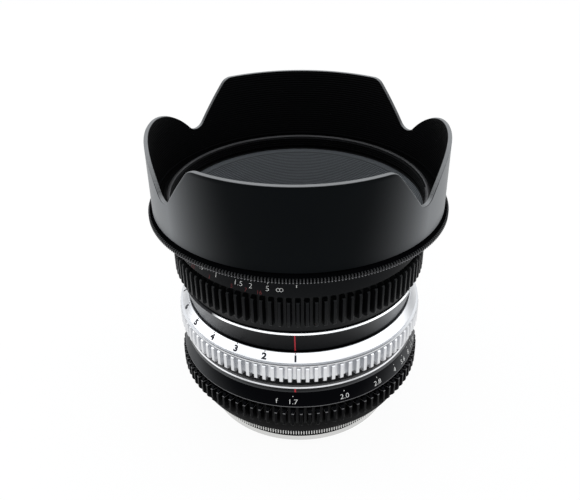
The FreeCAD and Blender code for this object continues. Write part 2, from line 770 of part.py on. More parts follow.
aperture_tip = tip_radius("aperture_teeth")
aperture_root = root_radius("aperture_teeth")
aperture_ring = turned("aperture_ring", [
    ("ring_bore", "aperture_bottom"),
    ("skirt_radius", "aperture_bottom"),
    ("skirt_radius", "aperture_gear_bottom"),
    (f"{aperture_tip} - tooth_chamfer", "aperture_gear_bottom"),
    (aperture_tip, "aperture_gear_bottom + tooth_chamfer"),
    (aperture_tip, "aperture_gear_top - tooth_chamfer"),
    (f"{aperture_tip} - tooth_chamfer", "aperture_gear_top"),
    (aperture_root, "aperture_gear_top"),
    (aperture_root, "aperture_cone_bottom"),
    ("aperture_cone_radius", "aperture_cone_bottom"),
    ("aperture_top_radius", "aperture_top"),
    ("ring_bore", "aperture_top"),
])
cut_teeth(aperture_ring, "aperture_teeth", "aperture_gear_bottom", "aperture_gear_height")
drive_sketch = new_sketch(aperture_ring, "DriveHole", "YZ_Plane")
drive_sketch.addGeometry(Part.Circle(Vector(0, drive_height, 0), Vector(0, 0, 1), drive_half), False)
drive_sketch.addConstraint(Sketcher.Constraint("PointOnObject", 0, 3, -2))
for name, parts, text in (
    ("up", ("DistanceY", -1, 1, 0, 3, drive_height), "drive_height"),
    ("hole", ("Radius", 0, drive_half), "drive_pin_radius + running_gap"),
):
    index = drive_sketch.addConstraint(Sketcher.Constraint(*parts))
    drive_sketch.renameConstraint(index, name)
    drive_sketch.setExpression("Constraints." + name, bound(text))
pocket(aperture_ring, drive_sketch, "barrel_radius + drive_pin_reach")

turned("aperture_index_ring", [
    ("barrel_radius", "lower_index_bottom"),
    ("lower_index_radius - lower_index_chamfer", "lower_index_bottom"),
    ("lower_index_radius", "lower_index_bottom + lower_index_chamfer"),
    ("lower_index_radius", "lower_index_top - lower_index_chamfer"),
    ("lower_index_radius - lower_index_chamfer", "lower_index_top"),
    ("barrel_radius", "lower_index_top"),
])

# Control ring, one piece from its skirt to its numbered cone

control_tip = tip_radius("control_teeth")
control_root = root_radius("control_teeth")
control_ring = turned("control_ring", [
    ("ring_bore", "control_bottom"),
    ("skirt_radius", "control_bottom"),
    ("skirt_radius", "control_gear_bottom"),
    (f"{control_tip} - tooth_chamfer", "control_gear_bottom"),
    (control_tip, "control_gear_bottom + tooth_chamfer"),
    (control_tip, "control_gear_top - tooth_chamfer"),
    (f"{control_tip} - tooth_chamfer", "control_gear_top"),
    (control_root, "control_gear_top"),
    (control_root, "control_bead_bottom"),
    ("control_bead_radius", "control_bead_bottom"),
    ("control_bead_radius", "control_bead_top"),
    ("control_shoulder_radius", "control_cone_bottom"),
    ("control_top_radius", "control_top"),
    ("control_recess_radius", "control_top"),
    ("control_recess_radius", "control_recess_floor"),
    ("ring_bore", "control_recess_floor"),
])
cut_teeth(control_ring, "control_teeth", "control_gear_bottom", "control_gear_height")
cut_grooves(
    control_ring, "control_follower_count",
    "control_follower_height - follower_room", "control_rise + 2 * follower_room",
)

# Fixed index barrel

turned("index_barrel", [
    ("barrel_radius", "index_bottom"),
    ("index_foot_radius", "index_bottom"),
    ("index_foot_radius", "control_top"),
    ("index_radius", "index_shoulder"),
    ("index_radius - index_chamfer", "index_top"),
    ("barrel_radius", "index_top"),
])

# Focus ring, with its gear and its scale cone

focus_tip = tip_radius("focus_teeth")
focus_root = root_radius("focus_teeth")
focus_ring = turned("focus_ring", [
    ("ring_bore", "focus_bottom"),
    ("skirt_radius", "focus_bottom"),
    ("skirt_radius", "focus_gear_bottom"),
    (f"{focus_tip} - tooth_chamfer", "focus_gear_bottom"),
    (focus_tip, "focus_gear_bottom + tooth_chamfer"),
    (focus_tip, "focus_gear_top - tooth_chamfer"),
    (f"{focus_tip} - tooth_chamfer", "focus_gear_top"),
    (focus_root, "focus_gear_top"),
    (focus_root, "focus_cone_bottom"),
    ("focus_cone_radius", "focus_cone_bottom"),
    ("focus_top_radius", "focus_top"),
    ("ring_bore", "focus_top"),
])
cut_teeth(focus_ring, "focus_teeth", "focus_gear_bottom", "focus_gear_height")
cut_grooves(
    focus_ring, "focus_follower_count",
    "focus_follower_height - follower_room", "focus_rise + 2 * follower_room",
)

# Front barrel, filter ring, name ring and ribbed baffle

turned("front_barrel", [
    ("spigot_bore", "spigot_bottom"),
    ("barrel_bore", "spigot_bottom"),
    ("barrel_bore", "barrel_top"),
    ("barrel_radius", "barrel_top"),
    ("barrel_radius", "front_bottom"),
    ("front_foot_radius", "front_bottom"),
    ("front_radius", "front_shoulder"),
    ("front_radius", "front_top"),
    ("filter_ring_radius", "front_top"),
    ("filter_ring_radius", "front_seat"),
    ("name_ring_bore", "front_seat"),
    ("name_ring_bore", "baffle_under + (name_ring_bore - baffle_end_radius) * baffle_slope"),
    ("spigot_bore", "baffle_under + (spigot_bore - baffle_end_radius) * baffle_slope"),
])
turned("filter_ring", [
    ("relief_radius", "front_seat"),
    ("filter_ring_radius", "front_seat"),
    ("filter_ring_radius", "filter_ring_top - filter_ring_chamfer"),
    ("filter_ring_radius - filter_ring_chamfer", "filter_ring_top"),
    ("filter_thread_radius", "filter_ring_top"),
    ("filter_bore", "filter_ring_top - filter_thread_depth"),
    ("filter_bore", "thread_bottom"),
    ("relief_radius", "thread_bottom"),
])
turned("name_ring", [
    ("name_ring_bore", "front_seat"),
    ("relief_radius", "front_seat"),
    ("relief_radius", "front_seat + name_ring_height"),
    ("name_ring_bore", "front_seat + name_ring_height / 2"),
])


def baffle_corners():
    """List the baffle's corners, with one step in its face for each rib."""
    across = "(baffle_mouth_radius - baffle_end_radius) / baffle_steps"
    corners = [
        ("baffle_end_radius", "baffle_under"),
        ("baffle_mouth_radius", "baffle_mouth_height - baffle_wall"),
    ]
    for step in range(int(size("baffle_steps")), 0, -1):
        edge = f"baffle_end_radius + {across} * {step}"
        corners.append((edge, f"baffle_end_height + {across} * {step} * baffle_slope"))
        corners.append((edge, f"baffle_end_height + {across} * {step - 1} * baffle_slope"))
    corners.append(("baffle_end_radius", "baffle_end_height"))
    return corners


turned("front_baffle", baffle_corners())

# Petal hood: a turned shell with four notches, and its grip ring

hood = turned("hood_shell", [
    ("hood_bore", "hood_bottom"),
    ("hood_radius", "hood_bottom"),
    ("hood_radius", "hood_top"),
    ("hood_radius - hood_wall", "hood_top"),
    ("hood_radius - hood_wall", "hood_floor + hood_step"),
    ("hood_radius - hood_wall - hood_step", "hood_floor + hood_step"),
    ("hood_radius - hood_wall - hood_step", "hood_floor"),
    ("hood_bore", "hood_floor"),
])


def notch_sketch(body, side, angle):
    """Draw the gap between two petals, seen from outside the hood.

    The front or back petal's flank is on the side given, 1 or -1, and the low
    hill of a side petal is on the other. The straight flank and the round
    valley, corner and hill run into each other.
    """
    offset = Placement(Vector(0, 0, 0), Rotation(Vector(0, 1, 0), angle))
    sketch = new_sketch(body, "Notch", "XZ_Plane", offset)
    top, hill_top = size("hood_top"), size("hood_side_top")
    valley_round, corner_round = size("hood_valley_round"), size("hood_corner_round")
    hill_round = size("hood_hill_round")
    lean = math.radians(size("hood_flank_angle"))
    over = top + 3
    valley = Vector(0, size("hood_valley") + valley_round, 0)
    hill_drop = valley.y - (hill_top - hill_round)
    hill = Vector(-side * math.sqrt((valley_round + hill_round) ** 2 - hill_drop ** 2), hill_top - hill_round, 0)
    normal = Vector(-side * math.sin(lean), math.cos(lean), 0)
    along = Vector(side * math.cos(lean), math.sin(lean), 0)
    foot = valley - normal * valley_round
    corner_height = top - corner_round
    reach = (corner_height + corner_round * normal.y - foot.y) / along.y
    shoulder = foot + along * reach
    corner = shoulder - normal * corner_round
    corner_start = corner + Vector(0, corner_round, 0)
    meet = valley + (hill - valley) * (valley_round / (valley_round + hill_round))
    crest = hill + Vector(0, hill_round, 0)
    past = crest - Vector(side * 4, 0, 0)
    axis_z = Vector(0, 0, 1)

    def arc(centre, radius, one, other):
        """Draw the shorter arc between two points and say which end is the first."""
        start = math.atan2(one.y - centre.y, one.x - centre.x)
        end = math.atan2(other.y - centre.y, other.x - centre.x)
        swapped = (end - start) % (2 * math.pi) > math.pi
        if swapped:
            start, end = end, start
        return Part.ArcOfCircle(Part.Circle(centre, axis_z, radius), start, end), swapped

    corner_arc, corner_swapped = arc(corner, corner_round, corner_start, shoulder)
    valley_arc, valley_swapped = arc(valley, valley_round, foot, meet)
    hill_arc, hill_swapped = arc(hill, hill_round, meet, crest)
    sketch.addGeometry([
        Part.LineSegment(Vector(corner_start.x, over, 0), corner_start),
        corner_arc,
        Part.LineSegment(shoulder, foot),
        valley_arc,
        hill_arc,
        Part.LineSegment(crest, past),
        Part.LineSegment(past, Vector(past.x, over, 0)),
        Part.LineSegment(Vector(past.x, over, 0), Vector(corner_start.x, over, 0)),
    ], False)

    def ends(swapped):
        return (2, 1) if swapped else (1, 2)

    corner_ends, valley_ends, hill_ends = ends(corner_swapped), ends(valley_swapped), ends(hill_swapped)
    sketch.addConstraint([
        Sketcher.Constraint("Tangent", 1, corner_ends[1], 2, 1),
        Sketcher.Constraint("Tangent", 2, 2, 3, valley_ends[0]),
        Sketcher.Constraint("Tangent", 3, valley_ends[1], 4, hill_ends[0]),
        Sketcher.Constraint("Tangent", 4, hill_ends[1], 5, 1),
        Sketcher.Constraint("Coincident", 5, 2, 6, 1),
        Sketcher.Constraint("Coincident", 6, 2, 7, 1),
        Sketcher.Constraint("Coincident", 7, 2, 0, 1),
        Sketcher.Constraint("Vertical", 0),
        Sketcher.Constraint("Horizontal", 5),
        Sketcher.Constraint("Vertical", 6),
        Sketcher.Constraint("Horizontal", 7),
        Sketcher.Constraint("Perpendicular", 0, 2, 1, corner_ends[0]),
        Sketcher.Constraint("PointOnObject", 3, 3, -2),
    ])
    for name, parts, text in (
        ("corner", ("Radius", 1, corner_round), "hood_corner_round"),
        ("valley", ("Radius", 3, valley_round), "hood_valley_round"),
        ("hill", ("Radius", 4, hill_round), "hood_hill_round"),
        ("low", ("DistanceY", -1, 1, 3, 3, valley.y), "hood_valley + hood_valley_round"),
        ("crest", ("DistanceY", -1, 1, 5, 1, crest.y), "hood_side_top"),
        ("rim", ("DistanceY", -1, 1, 0, 2, top), "hood_top"),
        ("over", ("DistanceY", -1, 1, 0, 1, over), "hood_top + 3"),
        ("past", ("DistanceX", 5, 1, 5, 2, past.x - crest.x), f"{-4 * side}"),
    ):
        index = sketch.addConstraint(Sketcher.Constraint(*parts))
        sketch.renameConstraint(index, name)
        sketch.setExpression("Constraints." + name, bound(text))
    index = sketch.addConstraint(Sketcher.Constraint("Angle", -1, 1, 2, 2, math.atan2(along.y, along.x)))
    sketch.renameConstraint(index, "lean")
    lean_text = "hood_flank_angle" if side > 0 else "180 - hood_flank_angle"
    sketch.setExpression("Constraints.lean", bound(lean_text))
    return sketch


notch = size("hood_notch_angle")
for side, angle in ((-1, notch), (1, 180 - notch), (-1, 180 + notch), (1, -notch)):
    pocket(hood, notch_sketch(hood, side, angle), "hood_radius + 5")

turned("hood_grip_ring", [
    ("hood_bore", "hood_grip_bottom"),
    ("hood_grip_radius - hood_grip_chamfer", "hood_grip_bottom"),
    ("hood_grip_radius", "hood_grip_bottom + hood_grip_chamfer"),
    ("hood_grip_radius", "hood_grip_top - hood_grip_chamfer"),
    ("hood_grip_radius - hood_grip_chamfer", "hood_grip_top"),
    ("hood_groove_radius", "hood_grip_top"),
    ("hood_groove_radius", "hood_bottom"),
    ("hood_bore", "hood_bottom"),
])

# Front element in its cell

front_low = "(front_glass_top - front_glass_thickness)"
lens_element(
    "front_element", "front_glass_radius", "front_glass_top", "front_glass_thickness",
    "front_glass_curve", "front_glass_hollow", back_up=True,
)
front_edge = sphere_height(front_low, "front_glass_hollow", "front_glass_radius", True)
front_bore = "(front_glass_radius + glass_gap)"
turned("front_cell", [
    ("front_glass_radius - front_cell_lip", f"{front_edge} - front_cell_lip"),
    ("spigot_bore", f"{front_edge} - front_cell_lip"),
    ("spigot_bore", "front_cell_top"),
    (front_bore, "front_cell_top"),
    (front_bore, front_edge),
    ("front_glass_radius - front_cell_lip", front_edge),
])


def retaining_ring(label, bore, vertex, curve, top=None):
    """Make the threaded ring that holds a lens element down from above."""
    inner = f"({bore} - retainer_width)"
    seat = sphere_height(vertex, curve, inner, True)
    turned(label, [
        (inner, seat),
        (bore, seat),
        (bore, top or f"{seat} + retainer_height"),
        (inner, top or f"{seat} + retainer_height"),
    ])


retaining_ring("front_retainer", front_bore, "front_glass_top", "front_glass_curve", "front_cell_top")

# The two moving groups: a carrier, its glass, its retaining ring and its followers


def carrier(label, group, seat):
    """Make the carrier that slides in the main barrel and holds a group's glass."""
    bottom, top = f"{group}_carrier_bottom", f"{group}_carrier_top"
    lip = f"{group}_glass_radius - lens_seat"
    bore = f"{group}_glass_radius + glass_gap"
    rim = f"{group}_glass_radius + glass_gap + carrier_rim"
    outside = "barrel_bore - running_gap"
    inside = f"{outside} - carrier_wall"
    web_bottom, web_top = f"{group}_web_bottom", f"{group}_web_bottom + carrier_web"
    body = turned(label, [
        (lip, bottom), (rim, bottom), (rim, web_bottom), (inside, web_bottom), (inside, bottom),
        (outside, bottom), (outside, top), (inside, top), (inside, web_top), (rim, web_top),
        (rim, top), (bore, top), (bore, seat), (lip, seat),
    ])
    start = size("barrel_bore - 2 * carrier_wall")
    height = size(f"{group}_follower_height")
    sketch = new_sketch(body, "FollowerHole", "YZ_Plane", Placement(Vector(0, 0, start), Rotation()))
    sketch.addGeometry(Part.Circle(Vector(0, height, 0), Vector(0, 0, 1), size("follower_radius")), False)
    sketch.addConstraint(Sketcher.Constraint("PointOnObject", 0, 3, -2))
    for name, parts, text in (
        ("up", ("DistanceY", -1, 1, 0, 3, height), f"{group}_follower_height"),
        ("hole", ("Radius", 0, size("follower_radius")), "follower_radius"),
    ):
        index = sketch.addConstraint(Sketcher.Constraint(*parts))
        sketch.renameConstraint(index, name)
        sketch.setExpression("Constraints." + name, bound(text))
    hole = pocket(body, sketch, "3 * carrier_wall")
    across = new_sketch(body, "Axis", "XY_Plane")
    around(body, across, hole, f"{group}_follower_count")
    return body


def followers(label, group):
    """Make a group's follower pins, which run in the barrel's slots."""
    count = int(size(f"{group}_follower_count"))
    start = size("barrel_bore - running_gap - carrier_wall")
    end = size("barrel_radius + groove_depth - 2 * running_gap")
    height = size(f"{group}_follower_height")
    pins = [
        radial_pin(size("follower_radius"), start, end, height, number * 360 / count)
        for number in range(count)
    ]
    keep_shape(label, Part.makeCompound(pins))


focus_flint_top = "(focus_glass_top - focus_crown_thickness - cement_gap)"
focus_low = f"({focus_flint_top} - focus_flint_thickness)"
lens_element(
    "focus_crown", "focus_glass_radius", "focus_glass_top", "focus_crown_thickness",
    "focus_glass_curve", "focus_cement_curve",
)
lens_element(
    "focus_flint", "focus_glass_radius", focus_flint_top, "focus_flint_thickness",
    "focus_cement_curve", "focus_back_curve", front_up=False,
)
carrier("focus_carrier", "focus", sphere_height(
    focus_low, "focus_back_curve", "focus_glass_radius - lens_seat", False,
))
retaining_ring("focus_retainer", "(focus_glass_radius + glass_gap)", "focus_glass_top", "focus_glass_curve")
followers("focus_followers", "focus")

control_low = "(control_glass_top - control_glass_thickness)"
lens_element(
    "control_element", "control_glass_radius", "control_glass_top", "control_glass_thickness",
    "control_glass_curve", "control_back_curve",
)
carrier("control_carrier", "control", sphere_height(
    control_low, "control_back_curve", "control_glass_radius - lens_seat", False,
))
retaining_ring("control_retainer", "(control_glass_radius + glass_gap)", "control_glass_top", "control_glass_curve")
followers("control_followers", "control")

# Iris: a housing, eight blades, and the slotted plate that swings them

iris_housing = turned("iris_housing", [
    ("iris_clear_radius", "iris_bottom"),
    ("barrel_bore", "iris_bottom"),
    ("barrel_bore", "iris_top"),
    ("iris_wall_bore", "iris_top"),
    ("iris_wall_bore", "iris_floor_top"),
    ("iris_clear_radius", "iris_floor_top"),
])
pivot_sketch = new_sketch(iris_housing, "PivotHole", "XY_Plane", raised("iris_bottom"))
pivot_sketch.setExpression("AttachmentOffset.Base.z", bound("iris_bottom"))
pivot_sketch.addGeometry(Part.Circle(Vector(size("blade_pivot_circle"), 0, 0), Vector(0, 0, 1), 1.0), False)
pivot_sketch.addConstraint(Sketcher.Constraint("PointOnObject", 0, 3, -1))
for name, parts, text in (
    ("across", ("DistanceX", -1, 1, 0, 3, size("blade_pivot_circle")), "blade_pivot_circle"),
    ("hole", ("Radius", 0, size("blade_pin_radius + blade_pin_gap")), "blade_pin_radius + blade_pin_gap"),
):
    index = pivot_sketch.addConstraint(Sketcher.Constraint(*parts))
    pivot_sketch.renameConstraint(index, name)
    pivot_sketch.setExpression("Constraints." + name, bound(text))
pivot_hole = pocket(iris_housing, pivot_sketch, "iris_floor")
around(iris_housing, pivot_sketch, pivot_hole, "blade_count")
slot_turn = size("0 - aperture_throw / 2")
slot_sketch = new_sketch(
    iris_housing, "DriveSlot", "XZ_Plane", Placement(Vector(), Rotation(Vector(0, 1, 0), slot_turn)),
)
slot_room = "(drive_pin_radius + 2 * running_gap)"
closed_outline(slot_sketch, [
    ("iris_wall_bore - 1", f"drive_height - {slot_room}"),
    ("barrel_radius", f"drive_height - {slot_room}"),
    ("barrel_radius", f"drive_height + {slot_room}"),
    ("iris_wall_bore - 1", f"drive_height + {slot_room}"),
])
drive_slot = iris_housing.newObject("PartDesign::Groove", "DriveSlotTurned")
drive_slot.Profile = (slot_sketch, [""])
drive_slot.ReferenceAxis = (slot_sketch, ["V_Axis"])
drive_slot.setExpression("Angle", bound("aperture_throw + 2 * drive_slot_spare"))
drive_slot.Midplane = True
doc.recompute()


def lever_place(swing):
    """Find a blade's lever pin for a swing angle in degrees."""
    angle = math.radians(size("blade_lever_angle") + swing)
    return Vector(size("blade_pivot_circle"), 0, 0) + Vector(math.cos(angle), math.sin(angle), 0) * size("blade_lever")


def blade(number):
    """Make one blade where it rests, with its pivot pin down and its lever pin up."""
    thick = size("blade_thickness")
    low = size("iris_floor_top + blade_start") + number * size("blade_spacing")
    inner, outer = size("blade_inner_radius"), size("blade_outer_radius")
    middle, half = (inner + outer) / 2, (outer - inner) / 2
    arc, ear = size("blade_arc"), size("blade_ear_radius")
    up = Vector(0, 0, 1)
    band = Part.makeCylinder(outer, thick, Vector(), up, arc).cut(Part.makeCylinder(inner, thick))
    end = Vector(middle * math.cos(math.radians(arc)), middle * math.sin(math.radians(arc)), 0)
    pivot = Vector(size("blade_pivot_circle"), 0, 0)
    lever = lever_place(0)
    along = (lever - pivot).normalize()
    side = Vector(-along.y, along.x, 0) * ear
    arm = Part.Face(Part.makePolygon([pivot + side, lever + side, lever - side, pivot - side, pivot + side]))
    neck = Part.Face(Part.makePolygon([
        Vector(middle, -half, 0), Vector(pivot.x, -ear, 0), Vector(pivot.x, ear, 0),
        Vector(outer - 0.5, half, 0), Vector(middle, half, 0), Vector(middle, -half, 0),
    ]))
    plate = band.fuse([
        Part.makeCylinder(half, thick, Vector(middle, 0, 0)),
        Part.makeCylinder(half, thick, end),
        Part.makeCylinder(ear, thick, pivot),
        Part.makeCylinder(ear, thick, lever),
        arm.extrude(up * thick),
        neck.extrude(up * thick),
    ])
    plate.translate(up * low)
    pin = size("blade_pin_radius")
    bottom = size("iris_bottom") + 0.1
    top = size("cam_plate_top") - 0.1
    shape = plate.fuse([
        Part.makeCylinder(pin, low + thick - bottom, Vector(pivot.x, pivot.y, bottom)),
        Part.makeCylinder(pin, top - low, Vector(lever.x, lever.y, low)),
    ]).removeSplitter()
    shape.rotate(Vector(), up, number * 360 / size("blade_count"))
    return shape


for number in range(int(size("blade_count"))):
    keep_shape(f"iris_blade_{number + 1}", blade(number))


def cam_slot():
    """Make the cutter of the slot that swings the first blade as the plate turns."""
    width = size("blade_pin_radius + blade_pin_gap")
    low, high = size("cam_plate_bottom") - 1, size("cam_plate_top") + 1
    throw, swing = size("aperture_throw"), size("blade_swing")
    middle = []
    steps = 30
    for step in range(-1, steps + 2):
        share = min(max(step / steps, -0.01), 1.01)
        turn = Rotation(Vector(0, 0, 1), throw * share)
        middle.append(turn.multVec(lever_place(swing * share)))
    left, right = [], []
    for i, point in enumerate(middle):
        ahead = middle[min(i + 1, len(middle) - 1)] - middle[max(i - 1, 0)]
        normal = Vector(-ahead.y, ahead.x, 0).normalize() * width
        left.append(point + normal)
        right.append(point - normal)
    edges = []
    for points in (left, right):
        curve = Part.BSplineCurve()
        curve.interpolate(points)
        edges.append(curve.toShape())
    first = (middle[0] - middle[1]).normalize() * width + middle[0]
    last = (middle[-1] - middle[-2]).normalize() * width + middle[-1]
    caps = [
        Part.Arc(left[0], first, right[0]).toShape(),
        Part.Arc(left[-1], last, right[-1]).toShape(),
    ]
    wire = Part.Wire(Part.__sortEdges__(edges + caps))
    face = Part.Face(wire)
    face.translate(Vector(0, 0, low))
    return face.extrude(Vector(0, 0, high - low))


plate = Part.makeCylinder(
    size("iris_wall_bore - running_gap"), size("cam_plate_height"), Vector(0, 0, size("cam_plate_bottom")),
).cut(Part.makeCylinder(size("cam_plate_bore"), size("cam_plate_height"), Vector(0, 0, size("cam_plate_bottom"))))
slots = []
for number in range(int(size("blade_count"))):
    cutter = cam_slot()
    cutter.rotate(Vector(), Vector(0, 0, 1), number * 360 / size("blade_count"))
    slots.append(cutter)
pin_start = size("iris_wall_bore - running_gap - drive_pin_inset")
pin_end = size("barrel_radius + drive_pin_reach - running_gap")
drive_pin = radial_pin(size("drive_pin_radius"), pin_start, pin_end, drive_height)
keep_shape("iris_cam_plate", plate.cut(slots + [drive_pin]))
keep_shape("iris_drive_pin", drive_pin)
turned("iris_cover", [
    ("cam_plate_bore", "iris_cover_bottom"),
    ("iris_wall_bore", "iris_cover_bottom"),
    ("iris_wall_bore", "iris_top"),
    ("cam_plate_bore", "iris_top"),
])

# Rear group: a cell, two elements, the spacer between them and a retaining ring

lens_element(
    "rear_inner_element", "rear_glass_radius", "rear_inner_top", "rear_inner_thickness",
    "rear_inner_curve", "rear_inner_back",
)
lens_element(
    "rear_outer_element", "rear_glass_radius", "rear_outer_top", "rear_outer_thickness",
    "rear_outer_curve", "rear_outer_back",
)
rear_seat = sphere_height("rear_outer_low", "rear_outer_back", "rear_glass_radius - lens_seat", False)
turned("rear_cell", [
    ("rear_glass_radius - lens_seat", "rear_cell_bottom"),
    ("rear_cell_radius", "rear_cell_bottom"),
    ("rear_cell_radius", "housing_floor"),
    ("rear_flange_radius", "housing_floor"),
    ("rear_flange_radius", "housing_floor + rear_flange_height"),
    ("rear_cell_radius", "housing_floor + rear_flange_height"),
    ("rear_cell_radius", "rear_cell_top"),
    ("rear_bore", "rear_cell_top"),
    ("rear_bore", rear_seat),
    ("rear_glass_radius - lens_seat", rear_seat),
])
spacer_bore = "rear_glass_radius - retainer_width"
turned("rear_spacer", [
    (spacer_bore, sphere_height("rear_outer_top", "rear_outer_curve", spacer_bore, True)),
    ("rear_bore", sphere_height("rear_outer_top", "rear_outer_curve", spacer_bore, True)),
    ("rear_bore", sphere_height("rear_inner_low", "rear_inner_back", spacer_bore, False)),
    (spacer_bore, sphere_height("rear_inner_low", "rear_inner_back", spacer_bore, False)),
])
retaining_ring("rear_retainer", "rear_bore", "rear_inner_top", "rear_inner_curve")

# Check every object, then write one file for each sub-part

doc.recompute()
for item in doc.Objects:
    if "Invalid" in item.State or "Error" in item.State:
        raise RuntimeError(f"{item.Label} failed: {item.State}")
nodes = [
    item for item in doc.Objects
    if item.TypeId == "PartDesign::Body" or item.TypeId == "Part::Feature" and item.Label[0].islower()
]
for item in nodes:
    if item.Shape.isNull() or not item.Shape.isValid():
        raise RuntimeError(f"{item.Label} has no valid shape")
    item.Shape.exportStep(f"parts/{item.Label}.step")
print(f"{len(nodes)} sub-parts written")
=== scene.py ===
import json
import logging
import math
from collections.abc import Callable, Sequence
from dataclasses import dataclass, field
from enum import Enum

import bmesh
import bpy
from mathutils import Matrix, Vector


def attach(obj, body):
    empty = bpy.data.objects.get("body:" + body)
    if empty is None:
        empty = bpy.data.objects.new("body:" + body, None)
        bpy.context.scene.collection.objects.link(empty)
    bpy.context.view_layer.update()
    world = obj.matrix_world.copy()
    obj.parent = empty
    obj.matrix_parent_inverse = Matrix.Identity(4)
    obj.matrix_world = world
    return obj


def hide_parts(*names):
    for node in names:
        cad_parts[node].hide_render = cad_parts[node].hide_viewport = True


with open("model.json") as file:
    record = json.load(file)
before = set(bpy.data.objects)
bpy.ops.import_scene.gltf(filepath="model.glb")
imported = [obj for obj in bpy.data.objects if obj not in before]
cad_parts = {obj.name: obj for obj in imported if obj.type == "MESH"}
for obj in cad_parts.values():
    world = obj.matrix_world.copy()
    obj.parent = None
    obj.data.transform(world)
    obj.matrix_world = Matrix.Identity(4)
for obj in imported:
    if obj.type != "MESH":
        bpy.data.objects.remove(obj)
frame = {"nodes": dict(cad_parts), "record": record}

LOG = logging.getLogger("lens")
MM = 0.001
AXIS = Vector((0.0, 0.0, 1.0))
ORIGIN = Vector((0.0, 0.0, 0.0))
FULL_TURN = 2 * math.pi
WELD = 0.0005
# Pale grey that the painted sheen lightens colours towards at grazing views.
PAINTED_SHEEN_GREY = (0.92, 0.96, 1.0)
SATIN = (0.0034, 0.0038, 0.0046)
RIB_GREY = (0.118, 0.129, 0.141)
# Grey of the painted highlights along edges and tooth chamfers.
EDGE_HIGHLIGHT_GREY = (0.16, 0.16, 0.165)

Corner = tuple[float, float]
Triple = tuple[float, float, float]
Colour = Triple
Number = "Shade | float"


class Slot(Enum):
    """The record's material slots."""

    BLACK = "black"
    HOOD = "hood_black"
    SILVER = "silver"
    MOUNT = "bright_mount"
    STEEL = "steel"
    BLADE = "blade_steel"
    BAFFLE = "baffle_grey"
    GLASS = "glass"


class Body(Enum):
    """The CAD bodies that pieces ride on."""

    BARREL = "barrel"
    APERTURE = "aperture"
    CONTROL = "control"
    FOCUS = "focus"
    HOOD = "hood"


class Shade:
    """A shader socket that can stand in a sum: each operation on it adds a Math node."""

    def __init__(self, bench: "Bench", socket: bpy.types.NodeSocket) -> None:
        """Wrap a socket of the material that a bench is making."""
        self.bench = bench
        self.socket = socket

    def maths(self, operation: str, *terms: Number, clamp: bool = False) -> "Shade":
        """Add a Math node.

        Args:
            operation: The Math node's operation.
            terms: The values or shades that it works on, in order.
            clamp: Whether the result is held between 0 and 1.

        Returns:
            The node's result.
        """
        inputs = dict(enumerate(terms))
        node = self.bench.node("ShaderNodeMath", {"operation": operation, "use_clamp": clamp}, inputs)
        return Shade(self.bench, node.outputs[0])

    def __add__(self, other: Number) -> "Shade":
        """Add."""
        return self.maths("ADD", self, other)

    def __radd__(self, other: Number) -> "Shade":
        """Add, with the shade on the right."""
        return self.maths("ADD", other, self)

    def __sub__(self, other: Number) -> "Shade":
        """Subtract."""
        return self.maths("SUBTRACT", self, other)

    def __rsub__(self, other: Number) -> "Shade":
        """Subtract the shade from a number."""
        return self.maths("SUBTRACT", other, self)

    def __mul__(self, other: Number) -> "Shade":
        """Multiply."""
        return self.maths("MULTIPLY", self, other)

    def __rmul__(self, other: Number) -> "Shade":
        """Multiply, with the shade on the right."""
        return self.maths("MULTIPLY", other, self)

    def __truediv__(self, other: Number) -> "Shade":
        """Divide."""
        return self.maths("DIVIDE", self, other)

    def __gt__(self, other: Number) -> "Shade":
        """Give 1 where the shade is greater, and 0 elsewhere."""
        return self.maths("GREATER_THAN", self, other)

    def __lt__(self, other: Number) -> "Shade":
        """Give 1 where the shade is less, and 0 elsewhere."""
        return self.maths("LESS_THAN", self, other)

    def held(self, low: float, high: float) -> "Shade":
        """Spread the range from low to high over 0 to 1, and hold it there."""
        return self.maths("DIVIDE", self - low, high - low, clamp=True)

    def wave(self, length: float) -> "Shade":
        """Turn a length into a wave between 0 and 1 that repeats at a given length."""
        return self.maths("SINE", self * (FULL_TURN / length)) * 0.5 + 0.5

    def varied(self, least: Number, play: float) -> "Shade":
        """Lift a least value by up to its play, as the shade goes from 0 to 1."""
        return least + self * play

    def mixed(self, other: "Shade", share: float) -> "Shade":
        """Mix in a share of another shade."""
        return self * (1 - share) + other * share


